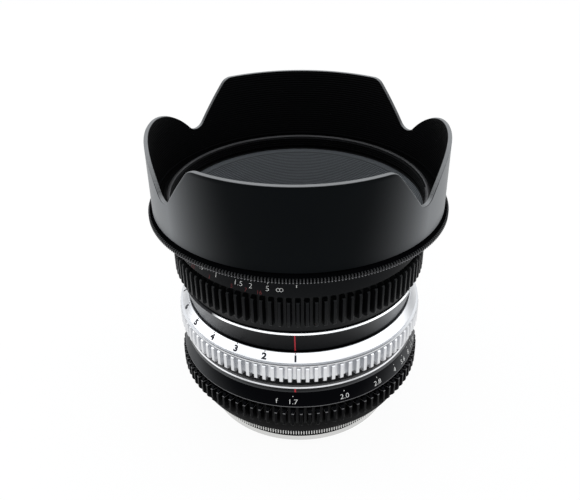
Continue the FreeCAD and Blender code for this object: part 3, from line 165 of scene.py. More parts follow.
class Bench:
    """The node tree of one material, and the nodes that this part's finishes share.

    The Mix node has its colours among sockets of other kinds, so they go by number.
    """

    noise_roughness: float = 0.55
    mix_colours: tuple[int, int] = (6, 7)
    mixed_colour: int = 2

    def __init__(self, name: str) -> None:
        """Start a material with a Principled shader.

        Args:
            name: The material's name.
        """
        self.material = bpy.data.materials.new(name)
        self.material.use_nodes = True
        self.tree = self.material.node_tree
        self.tree.nodes.clear()
        self.output = self.node("ShaderNodeOutputMaterial")
        self.surface = self.node("ShaderNodeBsdfPrincipled")
        self.tree.links.new(self.surface.outputs[0], self.output.inputs["Surface"])

    def node(
        self,
        kind: str,
        settings: dict[str, object] | None = None,
        inputs: dict[str | int, object] | None = None,
    ) -> bpy.types.Node:
        """Add a node.

        Args:
            kind: The node's type.
            settings: Its own settings, such as an operation, which are set first.
            inputs: A value, a socket or a shade for each input, by name or number.

        Returns:
            The new node.
        """
        node = self.tree.nodes.new(kind)
        for key, setting in (settings or {}).items():
            setattr(node, key, setting)
        for key, value in (inputs or {}).items():
            self.feed(node.inputs[key], value)
        return node

    def feed(self, socket: bpy.types.NodeSocket, value: object) -> None:
        """Give an input its value, or link a socket or shade to it.

        Args:
            socket: The input.
            value: The value, socket or shade.
        """
        if isinstance(value, Shade):
            self.tree.links.new(value.socket, socket)
        elif isinstance(value, bpy.types.NodeSocket):
            self.tree.links.new(value, socket)
        else:
            socket.default_value = value

    def set(self, **inputs: object) -> None:
        """Set the Principled shader's inputs, with spaces in their names written as _."""
        for name, value in inputs.items():
            self.feed(self.surface.inputs[name.replace("_", " ")], value)

    def place(self) -> bpy.types.NodeSocket:
        """Give the object coordinates, which are the part's own, in metres."""
        return self.node("ShaderNodeTexCoord").outputs["Object"]

    def parts(self, vector: bpy.types.NodeSocket) -> tuple["Shade", "Shade", "Shade"]:
        """Split a vector into its three numbers."""
        split = self.node("ShaderNodeSeparateXYZ", inputs={0: vector})
        return tuple(Shade(self, split.outputs[i]) for i in range(3))

    def radius(self) -> "Shade":
        """Give the distance from the optical axis.

        Returns:
            The distance in metres.
        """
        across, deep, _ = self.parts(self.place())
        square = across * across + deep * deep
        return square.maths("SQRT", square)

    def height(self) -> "Shade":
        """Give the height above the rear end."""
        return self.parts(self.place())[2]

    def facing(self) -> tuple["Shade", "Shade", "Shade"]:
        """Give the surface's own direction as three numbers."""
        return self.parts(self.node("ShaderNodeNewGeometry").outputs["Normal"])

    def grazing(self, low: float, high: float) -> "Shade":
        """Give 0 where the surface is seen squarely, and 1 where it is seen aslant.

        Args:
            low: The slant at which the answer leaves 0, where 1 is edge on.
            high: The slant at which it reaches 1.

        Returns:
            The answer.
        """
        weight = self.node("ShaderNodeLayerWeight", inputs={"Blend": 0.5})
        slant = Shade(self, weight.outputs["Facing"]).held(low, high)
        return slant * slant

    def noise(self, size: float, detail: float = 2.0, stretch: Triple = (1.0, 1.0, 1.0)) -> "Shade":
        """Give a noise.

        Args:
            size: The size of its grains in millimetres.
            detail: How many finer layers it has.
            stretch: How much the grains are drawn out along each axis.

        Returns:
            The noise, from 0 to 1.
        """
        scale = tuple(1 / length for length in stretch)
        spread = self.node("ShaderNodeMapping", inputs={"Vector": self.place(), "Scale": scale})
        inputs = {
            "Vector": spread.outputs[0], "Scale": 1 / (size * MM), "Detail": detail,
            "Roughness": self.noise_roughness,
        }
        return Shade(self, self.node("ShaderNodeTexNoise", inputs=inputs).outputs[0])

    def blend(self, mask: "Shade", first: Colour, second: object) -> bpy.types.NodeSocket:
        """Mix two colours.

        Args:
            mask: How much of the second colour shows, from 0 to 1.
            first: The colour, or its socket, where the mask is 0.
            second: The colour, or its socket, where the mask is 1.

        Returns:
            The mixed colour.
        """
        node = self.node("ShaderNodeMix", {"data_type": "RGBA", "clamp_factor": True})
        self.feed(node.inputs[0], mask)
        for number, colour in zip(self.mix_colours, (first, second)):
            self.feed(node.inputs[number], (*colour, 1.0) if isinstance(colour, tuple) else colour)
        return node.outputs[self.mixed_colour]

    def bump(self, relief: "Shade", depth: float, strength: float = 1.0) -> bpy.types.NodeSocket:
        """Turn a relief of 0 to 1 into a bump.

        Args:
            relief: The relief.
            depth: Its depth in millimetres.
            strength: How much of it shows.

        Returns:
            The bumped normal.
        """
        inputs = {"Height": relief, "Distance": depth * MM, "Strength": strength}
        return self.node("ShaderNodeBump", inputs=inputs).outputs[0]


def darker(colour: Colour, share: float) -> Colour:
    """Cut each channel of a colour to a share."""
    return tuple(channel * share for channel in colour)


@dataclass(frozen=True)
class Finish:
    """A fine-grained finish, such as anodised metal or baked paint, with an optional painted sheen at
    grazing views.
    """

    name: str
    colour: Colour
    roughness: float
    specular: float = 0.5
    metallic: float = 0.0
    grain: float = 0.25
    grain_depth: float = 0.006
    # sheen, sheen_from and sheen_to set a painted sheen that lightens the colour at grazing views.
    sheen: float = 0.0
    sheen_from: float = 0.15
    sheen_to: float = 0.5
    cloud: float = 14.0
    deepest: float = 0.78

    def begin(self) -> tuple[Bench, Shade, Shade]:
        """Start the material.

        Returns:
            Its bench, its fine grain and its broad clouds.
        """
        bench = Bench(self.name)
        return bench, bench.noise(self.grain), bench.noise(self.cloud, detail=3.0)

    def with_painted_sheen(self, bench: Bench, squarely: bpy.types.NodeSocket) -> bpy.types.NodeSocket:
        """Paint a sheen: lighten a colour towards pale grey where the surface is seen aslant."""
        slant = bench.grazing(self.sheen_from, self.sheen_to)
        return bench.blend(slant * self.sheen, squarely, PAINTED_SHEEN_GREY)

    def deeper(self) -> Colour:
        """Give the finish's colour where its clouds are deepest."""
        return darker(self.colour, self.deepest)

    def lay(
        self,
        bench: Bench,
        colour: bpy.types.NodeSocket,
        roughness: Shade,
        relief: Shade,
        depth: float,
    ) -> bpy.types.Material:
        """Lay the finish on its material.

        Args:
            bench: The material's bench.
            colour: The colour over the surface.
            roughness: The roughness over the surface.
            relief: The relief, from 0 to 1.
            depth: The relief's depth in millimetres.

        Returns:
            The material.
        """
        bench.set(
            Base_Color=colour,
            Roughness=roughness,
            Metallic=self.metallic,
            Specular_IOR_Level=self.specular,
            Normal=bench.bump(relief, depth),
        )
        return bench.material

    def material(self) -> bpy.types.Material:
        """Make the material.

        Returns:
            The material.
        """
        bench, fine, broad = self.begin()
        dark = bench.blend(broad.mixed(fine, share=0.4), self.deeper(), self.colour)
        grained = fine.varied(least=self.roughness * 0.9, play=self.roughness * 0.12)
        roughness = broad.varied(least=grained, play=self.roughness * 0.1)
        # The colour takes the painted sheen at grazing views.
        return self.lay(bench, self.with_painted_sheen(bench, dark), roughness, fine, self.grain_depth)


@dataclass(frozen=True)
class TurnedFinish(Finish):
    """Metal that still shows the fine rings of the lathe tool.

    The rings climb by slope for each millimetre of radius, and wander a little.
    """

    cloud: float = 9.0
    deepest: float = 0.86
    pitch: float = 0.18
    ring_depth: float = 0.004
    slope: float = 0.83
    wander: float = 0.1
    streak: Triple = (40.0, 40.0, 0.5)

    def material(self) -> bpy.types.Material:
        """Make the material.

        Returns:
            The material.
        """
        bench, fine, broad = self.begin()
        streak = bench.noise(size=0.5, stretch=self.streak)
        along = bench.height() + bench.radius() * self.slope + broad * (self.wander * MM)
        relief = along.wave(self.pitch * MM).mixed(fine, share=0.3)
        colour = bench.blend(broad.mixed(streak, share=0.5), self.deeper(), self.colour)
        roughness = streak.varied(least=self.roughness * 0.85, play=self.roughness * 0.3)
        return self.lay(bench, colour, roughness, relief, self.ring_depth)


@dataclass(frozen=True)
class GleamFinish(TurnedFinish):
    """Turned metal whose left part lies in shade."""

    shade: Colour = (0.012, 0.012, 0.013)
    shade_from: float = -21.0
    shade_to: float = -24.5

    def material(self) -> bpy.types.Material:
        """Make the material.

        Returns:
            The material.
        """
        bench, fine, broad = self.begin()
        across, _, _ = bench.parts(bench.place())
        lit = across.held(self.shade_to * MM, self.shade_from * MM)
        colour = bench.blend(lit * broad.varied(least=0.92, play=0.08), self.shade, self.colour)
        roughness = broad.varied(least=self.roughness, play=0.05)
        return self.lay(bench, colour, roughness, fine, self.ring_depth)


@dataclass(frozen=True)
class HoodFinish(Finish):
    """The hood's satin black: a painted highlight on the up-facing rim, painted highlight and shade on the
    dull ribs inside, and a painted sheen outside.

    A face is inside where its direction and its place, multiplied, stay below
    inside_below, in metres. The painted rim highlight goes on high faces tilted up past the rim tilt.
    """

    cloud: float = 18.0
    deepest: float = 0.75
    rib_pitch: float = 0.76
    rib_depth: float = 0.1
    # Inside rib colours: ridges painted lighter as highlight, grooves painted near black as shade.
    rib: Colour = (0.0042, 0.0045, 0.0052)
    rib_groove_shade: Colour = (0.0004, 0.0004, 0.0005)
    # Colour of the painted highlight on the rim.
    rim: Colour = (0.26, 0.265, 0.27)
    rim_highlight_above: float = 86.0
    rim_highlight_tilt: Corner = (0.4, 0.95)
    inside_below: float = 0.01

    def material(self) -> bpy.types.Material:
        """Make the material.

        Returns:
            The material.
        """
        bench, fine, broad = self.begin()
        across, deep, high = bench.parts(bench.place())
        face_x, face_y, face_z = bench.facing()
        inside = across * face_x + deep * face_y < self.inside_below
        # Mask of the painted rim highlight: high faces that face upwards.
        rim = face_z.held(*self.rim_highlight_tilt) * (high > self.rim_highlight_above * MM)
        ribs = bench.height().wave(self.rib_pitch * MM)
        outer = bench.blend(broad, self.deeper(), self.colour)
        # Painted highlight on the ridges and painted shade in the grooves.
        ribbed = bench.blend(ribs, self.rib_groove_shade, self.rib)
        # Outside, the colour takes the painted sheen at grazing views; inside, the painted rib pattern.
        wall = bench.blend(inside, self.with_painted_sheen(bench, outer), ribbed)
        # Paint the rim highlight over the wall colour.
        colour = bench.blend(rim * broad.varied(least=0.75, play=0.5), wall, self.rim)
        dull = inside.varied(least=self.roughness, play=0.2)
        roughness = fine.varied(least=dull, play=0.05)
        relief = fine.varied(least=ribs * inside, play=0.05)
        return self.lay(bench, colour, roughness, relief, self.rib_depth)


@dataclass(frozen=True)
class EdgedFinish(Finish):
    """A dark finish with a painted highlight band between two heights, and painted shade below a third
    height.
    """

    cloud: float = 12.0
    deepest: float = 0.8
    low: float = 0.0
    high: float = 0.0
    # bright: colour of the painted highlight band.
    bright: Colour = (0.6, 0.6, 0.61)
    # Below this height the colour is painted darker, as shade under the edge above.
    painted_shade_below: float = 0.0

    def material(self) -> bpy.types.Material:
        """Make the material.

        Returns:
            The material.
        """
        bench, fine, broad = self.begin()
        high = bench.height()
        # The painted highlight band between low and high.
        polish = (high > self.low * MM) * (high < self.high * MM)
        deep = self.deeper()
        plain = bench.blend(broad.mixed(fine, share=0.4), deep, self.colour)
        # Below the shade height the colour is painted darker as shade; above it the painted sheen applies.
        dark = bench.blend(high > self.painted_shade_below * MM, deep, self.with_painted_sheen(bench, plain))
        # Paint the highlight band over the dark colour.
        colour = bench.blend(polish * broad.varied(least=0.8, play=0.3), dark, self.bright)
        dull = fine.varied(least=self.roughness, play=0.05)
        roughness = polish.varied(least=dull, play=-0.1)
        return self.lay(bench, colour, roughness, fine, self.grain_depth)


@dataclass(frozen=True)
class RibbedFinish(Finish):
    """A dull finish whose round grooves are painted darker than the ridges between them, as painted shade.
    """

    pitch: float = 0.4577
    start: float = 23.8
    # Painted shade colour for the grooves.
    groove: Colour = (0.004, 0.0045, 0.005)
    plain_from: float = 90.0
    plain: Colour = (0.0020, 0.0021, 0.0024)

    def material(self) -> bpy.types.Material:
        """Make the material.

        Returns:
            The material.
        """
        bench = Bench(self.name)
        fine = bench.noise(self.grain)
        ridge = (bench.radius() - self.start * MM).wave(self.pitch * MM)
        # Grooves take the painted shade colour; ridges keep the finish's own colour.
        ribbed = bench.blend(ridge * fine.varied(least=0.85, play=0.3), self.groove, self.colour)
        colour = bench.blend(bench.radius() > self.plain_from * MM, ribbed, self.plain)
        roughness = fine.varied(least=self.roughness, play=0.08)
        return self.lay(bench, colour, roughness, fine, self.grain_depth)


@dataclass(frozen=True)
class GlassFinish:
    """Coated optical glass, clear inside with a tinted gloss."""

    name: str
    tint: Colour
    gloss: Colour
    index: float = 1.6

    def material(self) -> bpy.types.Material:
        """Make the material.

        Returns:
            The material.
        """
        bench = Bench(self.name)
        haze = bench.noise(size=6.0)
        bench.set(
            Base_Color=bench.blend(haze, darker(self.tint, share=0.98), self.tint),
            Roughness=haze.varied(least=0.012, play=0.012),
            IOR=self.index,
            Transmission_Weight=1.0,
            Specular_Tint=(*self.gloss, 1.0),
        )
        return bench.material


@dataclass(frozen=True)
class InkFinish:
    """Baked filling of an engraved figure or line."""

    name: str
    colour: Colour

    def material(self) -> bpy.types.Material:
        """Make the material.

        Returns:
            The material.
        """
        bench = Bench(self.name)
        speck = bench.noise(size=0.12, detail=1.0)
        bench.set(
            Base_Color=bench.blend(speck, darker(self.colour, share=0.85), self.colour),
            Roughness=speck.varied(least=0.55, play=0.15),
            Specular_IOR_Level=0.3,
            Normal=bench.bump(speck, depth=0.01),
        )
        return bench.material


@dataclass
class Finishes:
    """Every finish of the part, each made once."""

    anodised: Finish = Finish("satin_black_anodised", SATIN, 0.36, 0.15, 0.8)
    # Index band: a painted sheen at grazing views.
    band: Finish = Finish(
        "index_band_black", SATIN, 0.36, 0.15, 0.8,
        sheen=0.16, sheen_from=0.42, sheen_to=0.75,
    )
    # A lighter copy of the black, as painted light on the focus gear ring; the front shell uses it too.
    teeth: Finish = Finish("gear_black_painted_light", (0.0092, 0.0098, 0.0106), 0.42, 0.2, 0.8)
    # Aperture teeth: a darker copy of the black as painted shade, a painted glint on the tooth-top chamfers
    # and painted shade below them.
    aperture_teeth: EdgedFinish = EdgedFinish(
        "aperture_teeth_painted_dark", (0.0014, 0.0016, 0.0022), 0.44, 0.08, 0.8, low=24.08, high=24.36,
        bright=EDGE_HIGHLIGHT_GREY, painted_shade_below=24.0,
    )
    # Hood: painted sheen outside, painted highlight on the rim, painted highlight and shade on the inside
    # ribs.
    hood: HoodFinish = HoodFinish(
        "hood_black", (0.0024, 0.0034, 0.0042), 0.42, 0.15, 0.8, sheen=0.2, sheen_from=0.21, sheen_to=0.62,
    )
    # A pure black without reflection, as painted shade in the grip ring's groove.
    groove: Finish = Finish("groove_painted_shade_black", (0.0012, 0.0013, 0.0016), 0.8, 0.0, 0.0)
    # Grip teeth: painted glints along the teeth's lower ends.
    grip_teeth: EdgedFinish = EdgedFinish(
        "grip_teeth_black", (0.044, 0.045, 0.047), 0.4, 0.3, 0.7, low=75.1, high=75.55,
        bright=(0.22, 0.22, 0.23),
    )
    well: Finish = Finish("inner_black", (0.0020, 0.0021, 0.0024), 0.6, 0.2, 0.6, grain=0.4)
    # Baffle and plain front ring below: grooves painted dark as shade.
    baffle: RibbedFinish = RibbedFinish("baffle_grey", RIB_GREY, 0.5, 0.3, grain=0.3)
    name_ring: RibbedFinish = RibbedFinish(
        "name_ring_black", RIB_GREY, 0.5, 0.3, grain=0.3, plain_from=37.75,
    )
    # Filter ring: a painted highlight along its top edge.
    filter: EdgedFinish = EdgedFinish(
        "filter_ring_black", (0.0032, 0.0034, 0.0038), 0.36, 0.2, 0.75, low=80.02, high=80.5,
        bright=EDGE_HIGHLIGHT_GREY,
    )
    # Lower band: a faint painted sheen at grazing views and a painted highlight on its top chamfer.
    lower_band: EdgedFinish = EdgedFinish(
        "lower_band_black", SATIN, 0.36, 0.15, 0.8, sheen=0.06, low=32.72, high=33.2,
    )
    # Aperture ring: a darker copy of the black as painted shade, a faint painted sheen, a painted highlight
    # on the scale's lower edge and painted shade below it.
    aperture_band: EdgedFinish = EdgedFinish(
        "aperture_ring_painted_dark", (0.0012, 0.0014, 0.0022), 0.44, 0.08, 0.8, sheen=0.05, low=26.2, high=26.62,
        bright=EDGE_HIGHLIGHT_GREY, painted_shade_below=26.3,
    )
    bright_edge: GleamFinish = GleamFinish("polished_edge", (0.80, 0.81, 0.82), 0.24, metallic=1.0)
    silver: TurnedFinish = TurnedFinish(
        "satin_silver", (0.80, 0.81, 0.83), 0.33, metallic=1.0, pitch=0.22, ring_depth=0.003,
    )
    mount: TurnedFinish = TurnedFinish("bright_mount", (0.68, 0.68, 0.67), 0.2, metallic=1.0, pitch=0.14)
    steel: TurnedFinish = TurnedFinish("ground_steel", (0.46, 0.46, 0.46), 0.3, metallic=1.0)
    fine_teeth: TurnedFinish = TurnedFinish("fine_teeth_steel", (0.82, 0.82, 0.80), 0.34, metallic=0.7)
    blade: Finish = Finish("blade_steel", (0.035, 0.036, 0.04), 0.36, metallic=0.8, grain=0.15)
    glass: GlassFinish = GlassFinish("coated_glass", (0.985, 0.995, 0.99), (0.24, 0.17, 0.36))
    inner_glass: GlassFinish = GlassFinish("inner_glass", (0.99, 0.995, 0.98), (0.08, 0.14, 0.11))
    white_ink: InkFinish = InkFinish("white_ink", (0.70, 0.70, 0.68))
    dark_ink: InkFinish = InkFinish("dark_ink", (0.012, 0.013, 0.02))
    red_ink: InkFinish = InkFinish("red_ink", (0.36, 0.012, 0.022))
    dim_red_ink: InkFinish = InkFinish("dim_red_ink", (0.10, 0.008, 0.010))
    made: dict[str, bpy.types.Material] = field(default_factory=dict)

    def get(self, finish: "Finish | GlassFinish | InkFinish") -> bpy.types.Material:
        """Give a finish's material, made at its first use.

        Args:
            finish: The finish.

        Returns:
            The material.
        """
        if finish.name not in self.made:
            self.made[finish.name] = finish.material()
        return self.made[finish.name]


FINISHES = Finishes()


class Workpiece:
    """A mesh in millimetres that is shaped with operators and then set in the frame."""

    def __init__(self) -> None:
        """Start with an empty mesh."""
        self.mesh = bmesh.new()

    def turn(self, outline: Sequence[Corner], steps: int = 256, closed: bool = True) -> "Workpiece":
        """Turn an outline round the optical axis.

        Args:
            outline: The radius and height of each corner, in order.
            steps: How many facets the full turn has.
            closed: Whether the last corner joins the first.

        Returns:
            The workpiece.
        """
        corners = [self.mesh.verts.new((radius, 0.0, height)) for radius, height in outline]
        pairs = list(zip(corners, corners[1:]))
        if closed:
            pairs.append((corners[-1], corners[0]))
        edges = [self.mesh.edges.new(pair) for pair in pairs]
        bmesh.ops.spin(
            self.mesh, geom=corners + edges, cent=ORIGIN, axis=AXIS, angle=FULL_TURN,
            steps=steps, use_merge=True,
        )
        bmesh.ops.remove_doubles(self.mesh, verts=self.mesh.verts, dist=WELD)
        bmesh.ops.recalc_face_normals(self.mesh, faces=self.mesh.faces)
        return self

    def bevel(
        self, edges: Sequence[bmesh.types.BMEdge], width: float, segments: int = 1, held: bool = False,
    ) -> None:
        """Bevel edges.

        Args:
            edges: The edges.
            width: The bevel's width in millimetres.
            segments: How many facets it has.
            held: Whether it stops where two bevels meet.
        """
        bmesh.ops.bevel(
            self.mesh, geom=edges, offset=width, offset_type="OFFSET", segments=segments,
            profile=0.5, affect="EDGES", material=-1, clamp_overlap=held,
        )

    def soften(self, width: float, segments: int = 2, sharper_than: float = 28.0) -> "Workpiece":
        """Bevel every sharp edge.

        Args:
            width: The bevel's width in millimetres.
            segments: How many facets it has.
            sharper_than: The angle in degrees over which an edge is sharp.

        Returns:
            The workpiece.
        """
        self.mesh.normal_update()
        limit = math.radians(sharper_than)
        sharp = [
            edge for edge in self.mesh.edges
            if len(edge.link_faces) == 2 and edge.calc_face_angle(0.0) > limit
        ]
        self.bevel(sharp, width, segments, held=True)
        return self

    def block(self, size: Sequence[float], centre: Sequence[float]) -> list[bmesh.types.BMVert]:
        """Add a box.

        Args:
            size: Its size along each axis.
            centre: Its middle.

        Returns:
            Its corners.
        """
        made = bmesh.ops.create_cube(self.mesh, size=1.0)["verts"]
        bmesh.ops.scale(self.mesh, vec=Vector(size), verts=made)
        bmesh.ops.translate(self.mesh, vec=Vector(centre), verts=made)
        return made

    def repeat(self, verts: Sequence[bmesh.types.BMVert], count: int) -> "Workpiece":
        """Repeat a shape evenly round the optical axis.

        Args:
            verts: The shape's vertices.
            count: How many there are in all.

        Returns:
            The workpiece.
        """
        faces = {face for vert in verts for face in vert.link_faces}
        edges = {edge for vert in verts for edge in vert.link_edges}
        bmesh.ops.spin(
            self.mesh, geom=list(verts) + list(edges) + list(faces), cent=ORIGIN, axis=AXIS,
            angle=FULL_TURN * (count - 1) / count, steps=count - 1, use_duplicate=True,
        )
        return self

    def join(self, other: "Workpiece") -> "Workpiece":
        """Take another workpiece's mesh into this one.

        Args:
            other: The other workpiece, which is used up.

        Returns:
            The workpiece.
        """
        spare = bpy.data.meshes.new("spare")
        other.mesh.to_mesh(spare)
        other.mesh.free()
        self.mesh.from_mesh(spare)
        bpy.data.meshes.remove(spare)
        return self

    def bend(self, place: Callable[[Vector], Vector]) -> "Workpiece":
        """Move every vertex.

        Args:
            place: The rule that gives a vertex its new place.

        Returns:
            The workpiece.
        """
        for vert in self.mesh.verts:
            vert.co = place(vert.co)
        return self

    def fit(
        self,
        name: str,
        body: Body,
        slot: Slot,
        finish: "Finish | GlassFinish | InkFinish",
        replaces: Sequence[str] = (),
        smooth_below: float = 24.0,
        recalculate: bool = False,
    ) -> bpy.types.Object:
        """Set the finished mesh in the frame.

        Args:
            name: The piece's name.
            body: The CAD body that it rides on.
            slot: The record's slot that the piece belongs to; not used.
            finish: Its finish.
            replaces: The CAD nodes that it stands for.
            smooth_below: The angle in degrees under which edges are shaded smooth.
            recalculate: Whether its faces are turned outwards once more.

        Returns:
            The new object.
        """
        if recalculate:
            bmesh.ops.recalc_face_normals(self.mesh, faces=self.mesh.faces)
        bmesh.ops.scale(self.mesh, vec=Vector((MM, MM, MM)), verts=self.mesh.verts)
        data = bpy.data.meshes.new(name)
        self.mesh.to_mesh(data)
        self.mesh.free()
        data.shade_smooth()
        data.set_sharp_from_angle(angle=math.radians(smooth_below))
        data.materials.append(FINISHES.get(finish))
        piece = bpy.data.objects.new(name, data)
        bpy.context.scene.collection.objects.link(piece)
        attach(piece, body.value)
        if replaces:
            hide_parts(*replaces)
        LOG.info("%s: %d faces on %s", name, len(data.polygons), body.value)
        return piece


@dataclass(frozen=True)
class Gear:
    """The teeth round a ring: straight, with flat tips and chamfered ends.

    The rims that get a fine bevel are the edges within rim_reach of the tips
    that turn by more than rim_angle, in radians.
    """

    count: int
    bottom: float
    top: float
    module: float = 0.8
    tip_width: float = 0.75
    root_gap: float = 0.68
    chamfer: float = 0.45
    edge: float = 0.07
    sunk: float = 0.3
    rim_reach: float = 0.6
    rim_angle: float = 0.4
    level: float = 0.01
    addendum: float = 1.0
    dedendum: float = 1.25

    @property
    def tip(self) -> float:
        """Give the tip radius."""
        return self.module * (self.count + 2 * self.addendum) / 2

    @property
    def root(self) -> float:
        """Give the root radius."""
        return self.module * (self.count - 2 * self.dedendum) / 2

    def cut(self) -> Workpiece:
        """Make the teeth.

        Returns:
            The row of teeth.
        """
        piece = Workpiece()
        inner = self.root - self.sunk
        base = FULL_TURN * self.root / self.count - self.root_gap
        reach = self.tip - inner
        middle = (inner + reach / 2, 0.0, (self.top + self.bottom) / 2)
        piece.block((reach, base, self.top - self.bottom), middle)
        crest = [vert for vert in piece.mesh.verts if vert.co.x > self.root]
        bmesh.ops.scale(piece.mesh, vec=Vector((1.0, self.tip_width / base, 1.0)), verts=crest)
        ends = [
            edge for edge in piece.mesh.edges
            if all(vert.co.x > self.root for vert in edge.verts)
            and abs(edge.verts[0].co.z - edge.verts[1].co.z) < self.level
        ]
        piece.bevel(ends, self.chamfer)
        piece.mesh.normal_update()
        rims = [
            edge for edge in piece.mesh.edges
            if all(vert.co.x > self.tip - self.rim_reach for vert in edge.verts)
            and edge.calc_face_angle(0.0) > self.rim_angle
        ]
        piece.bevel(rims, self.edge)
        half_step = Matrix.Rotation(math.pi / self.count, 3, "Z")
        bmesh.ops.rotate(piece.mesh, cent=ORIGIN, matrix=half_step, verts=piece.mesh.verts)
        return piece.repeat(list(piece.mesh.verts), self.count)


@dataclass(frozen=True)
class Knurl:
    """A row of small upright teeth round a ring, each narrower at its crest."""

    count: int
    foot: float
    crest: float
    bottom: float
    top: float
    share: float = 0.52
    sunk: float = 0.15
    crest_share: float = 0.62
    end_slope: float = 0.5
    least_end: float = 0.4

    def cut(self) -> Workpiece:
        """Make the row.

        Returns:
            The row of teeth.
        """
        piece = Workpiece()
        width = FULL_TURN * self.crest / self.count * self.share
        inner = self.foot - self.sunk
        reach = self.crest - inner
        height = self.top - self.bottom
        middle = (self.top + self.bottom) / 2
        piece.block((reach, width, height), (inner + reach / 2, 0.0, middle))
        outer = [vert for vert in piece.mesh.verts if vert.co.x > self.foot]
        squeeze = Matrix.Translation((0.0, 0.0, -middle))
        end_share = max(self.least_end, 1 - self.end_slope * (self.crest - self.foot) / height)
        shrink = Vector((1.0, self.crest_share, end_share))
        bmesh.ops.scale(piece.mesh, vec=shrink, space=squeeze, verts=outer)
        return piece.repeat(list(piece.mesh.verts), self.count)


@dataclass(frozen=True)
class Scale:
    """A conical band that figures and lines are engraved on."""

    low: Corner
    high: Corner

    def place(self, azimuth: float, along: float, lift: float) -> Vector:
        """Give a place on the band.

        Args:
            azimuth: The angle in degrees from the index, to the right as seen from outside.
            along: The distance in millimetres up the band from its low edge.
            lift: The height in millimetres above the band.

        Returns:
            The place in millimetres.
        """
        run, rise = self.high[0] - self.low[0], self.high[1] - self.low[1]
        length = math.hypot(run, rise)
        radius = self.low[0] + run * along / length + rise / length * lift
        height = self.low[1] + rise * along / length - run / length * lift
        turn = math.radians(azimuth)
        return Vector((radius * math.sin(turn), -radius * math.cos(turn), height))

    def wrap(self, piece: Workpiece, azimuth: float) -> Workpiece:
        """Lay a flat piece on the band, its middle at an azimuth and its foot on the low edge."""
        middle = (self.low[0] + self.high[0]) / 2
        return piece.bend(lambda spot: self.place(azimuth + math.degrees(spot.x / middle), spot.y, spot.z))


@dataclass
class Engraving:
    """The figures and lines of one colour on one band."""

    scale: Scale
    lift: float = 0.025
    depth: float = 0.03
    bold: float = 0.018
    weld: float = 0.0004
    work: Workpiece = field(default_factory=Workpiece)

    def figure(
        self, text: str, azimuth: float, foot: float, height: float, narrow: float = 1.0,
    ) -> "Engraving":
        """Add plain figures.

        Args:
            text: The figures.
            azimuth: Where their middle is, in degrees.
            foot: How far up the band they stand, in millimetres.
            height: How tall they are, in millimetres.
            narrow: How much their width is squeezed.

        Returns:
            The engraving.
        """
        curve = bpy.data.curves.new("figure", "FONT")
        curve.body = text
        curve.align_x = "CENTER"
        curve.size = 1.0
        curve.offset = self.bold
        curve.extrude = self.depth / 2
        curve.resolution_u = 4
        holder = bpy.data.objects.new("figure", curve)
        bpy.context.scene.collection.objects.link(holder)
        bpy.context.view_layer.update()
        data = bpy.data.meshes.new_from_object(holder.evaluated_get(bpy.context.evaluated_depsgraph_get()))
        bpy.data.objects.remove(holder)
        bpy.data.curves.remove(curve)
        piece = Workpiece()
        piece.mesh.from_mesh(data)
        bpy.data.meshes.remove(data)
        bmesh.ops.remove_doubles(piece.mesh, verts=piece.mesh.verts, dist=self.weld)
        low = min(vert.co.y for vert in piece.mesh.verts)
        high = max(vert.co.y for vert in piece.mesh.verts)
        grow = height / (high - low)
        bmesh.ops.translate(piece.mesh, vec=Vector((0.0, -low, 0.0)), verts=piece.mesh.verts)
        bmesh.ops.scale(piece.mesh, vec=Vector((grow * narrow, grow, 1.0)), verts=piece.mesh.verts)
        bmesh.ops.translate(piece.mesh, vec=Vector((0.0, foot, self.lift)), verts=piece.mesh.verts)
        self.work.join(self.scale.wrap(piece, azimuth))
        return self

    def dash(self, azimuth: float, foot: float, width: float, length: float) -> "Engraving":
        """Add an upright line.

        Args:
            azimuth: Where it is, in degrees.
            foot: How far up the band it starts, in millimetres.
            width: Its width in millimetres.
            length: Its length in millimetres.

        Returns:
            The engraving.
        """
        piece = Workpiece()
        piece.block((width, length, self.depth), (0.0, foot + length / 2, self.lift))
        self.work.join(self.scale.wrap(piece, azimuth))
        return self

    def dot(self, azimuth: float, foot: float, radius: float) -> "Engraving":
        """Add a round dot.

        Args:
            azimuth: Where it is, in degrees.
            foot: How far up the band its middle is, in millimetres.
            radius: Its radius in millimetres.

        Returns:
            The engraving.
        """
        piece = Workpiece()
        bmesh.ops.create_cone(
            piece.mesh, cap_ends=True, segments=16, radius1=radius, radius2=radius, depth=self.depth,
            matrix=Matrix.Translation((0.0, foot, self.lift)),
        )
        self.work.join(self.scale.wrap(piece, azimuth))
        return self

    def loop(self, azimuth: float, foot: float, radius: float, width: float) -> "Engraving":
        """Add a round loop.

        Args:
            azimuth: Where it is, in degrees.
            foot: How far up the band its middle is, in millimetres.
            radius: The radius of its line's middle, in millimetres.
            width: The line's width in millimetres.

        Returns:
            The engraving.
        """
        low, high = self.lift - self.depth / 2, self.lift + self.depth / 2
        inner, outer = radius - width / 2, radius + width / 2
        piece = Workpiece().turn([(inner, low), (outer, low), (outer, high), (inner, high)], steps=24)
        bmesh.ops.translate(piece.mesh, vec=Vector((0.0, foot, 0.0)), verts=piece.mesh.verts)
        self.work.join(self.scale.wrap(piece, azimuth))
        return self

    def fit(self, name: str, body: Body, slot: Slot, ink: InkFinish) -> bpy.types.Object:
        """Set the engraving in the frame."""
        return self.work.fit(name, body, slot, ink)


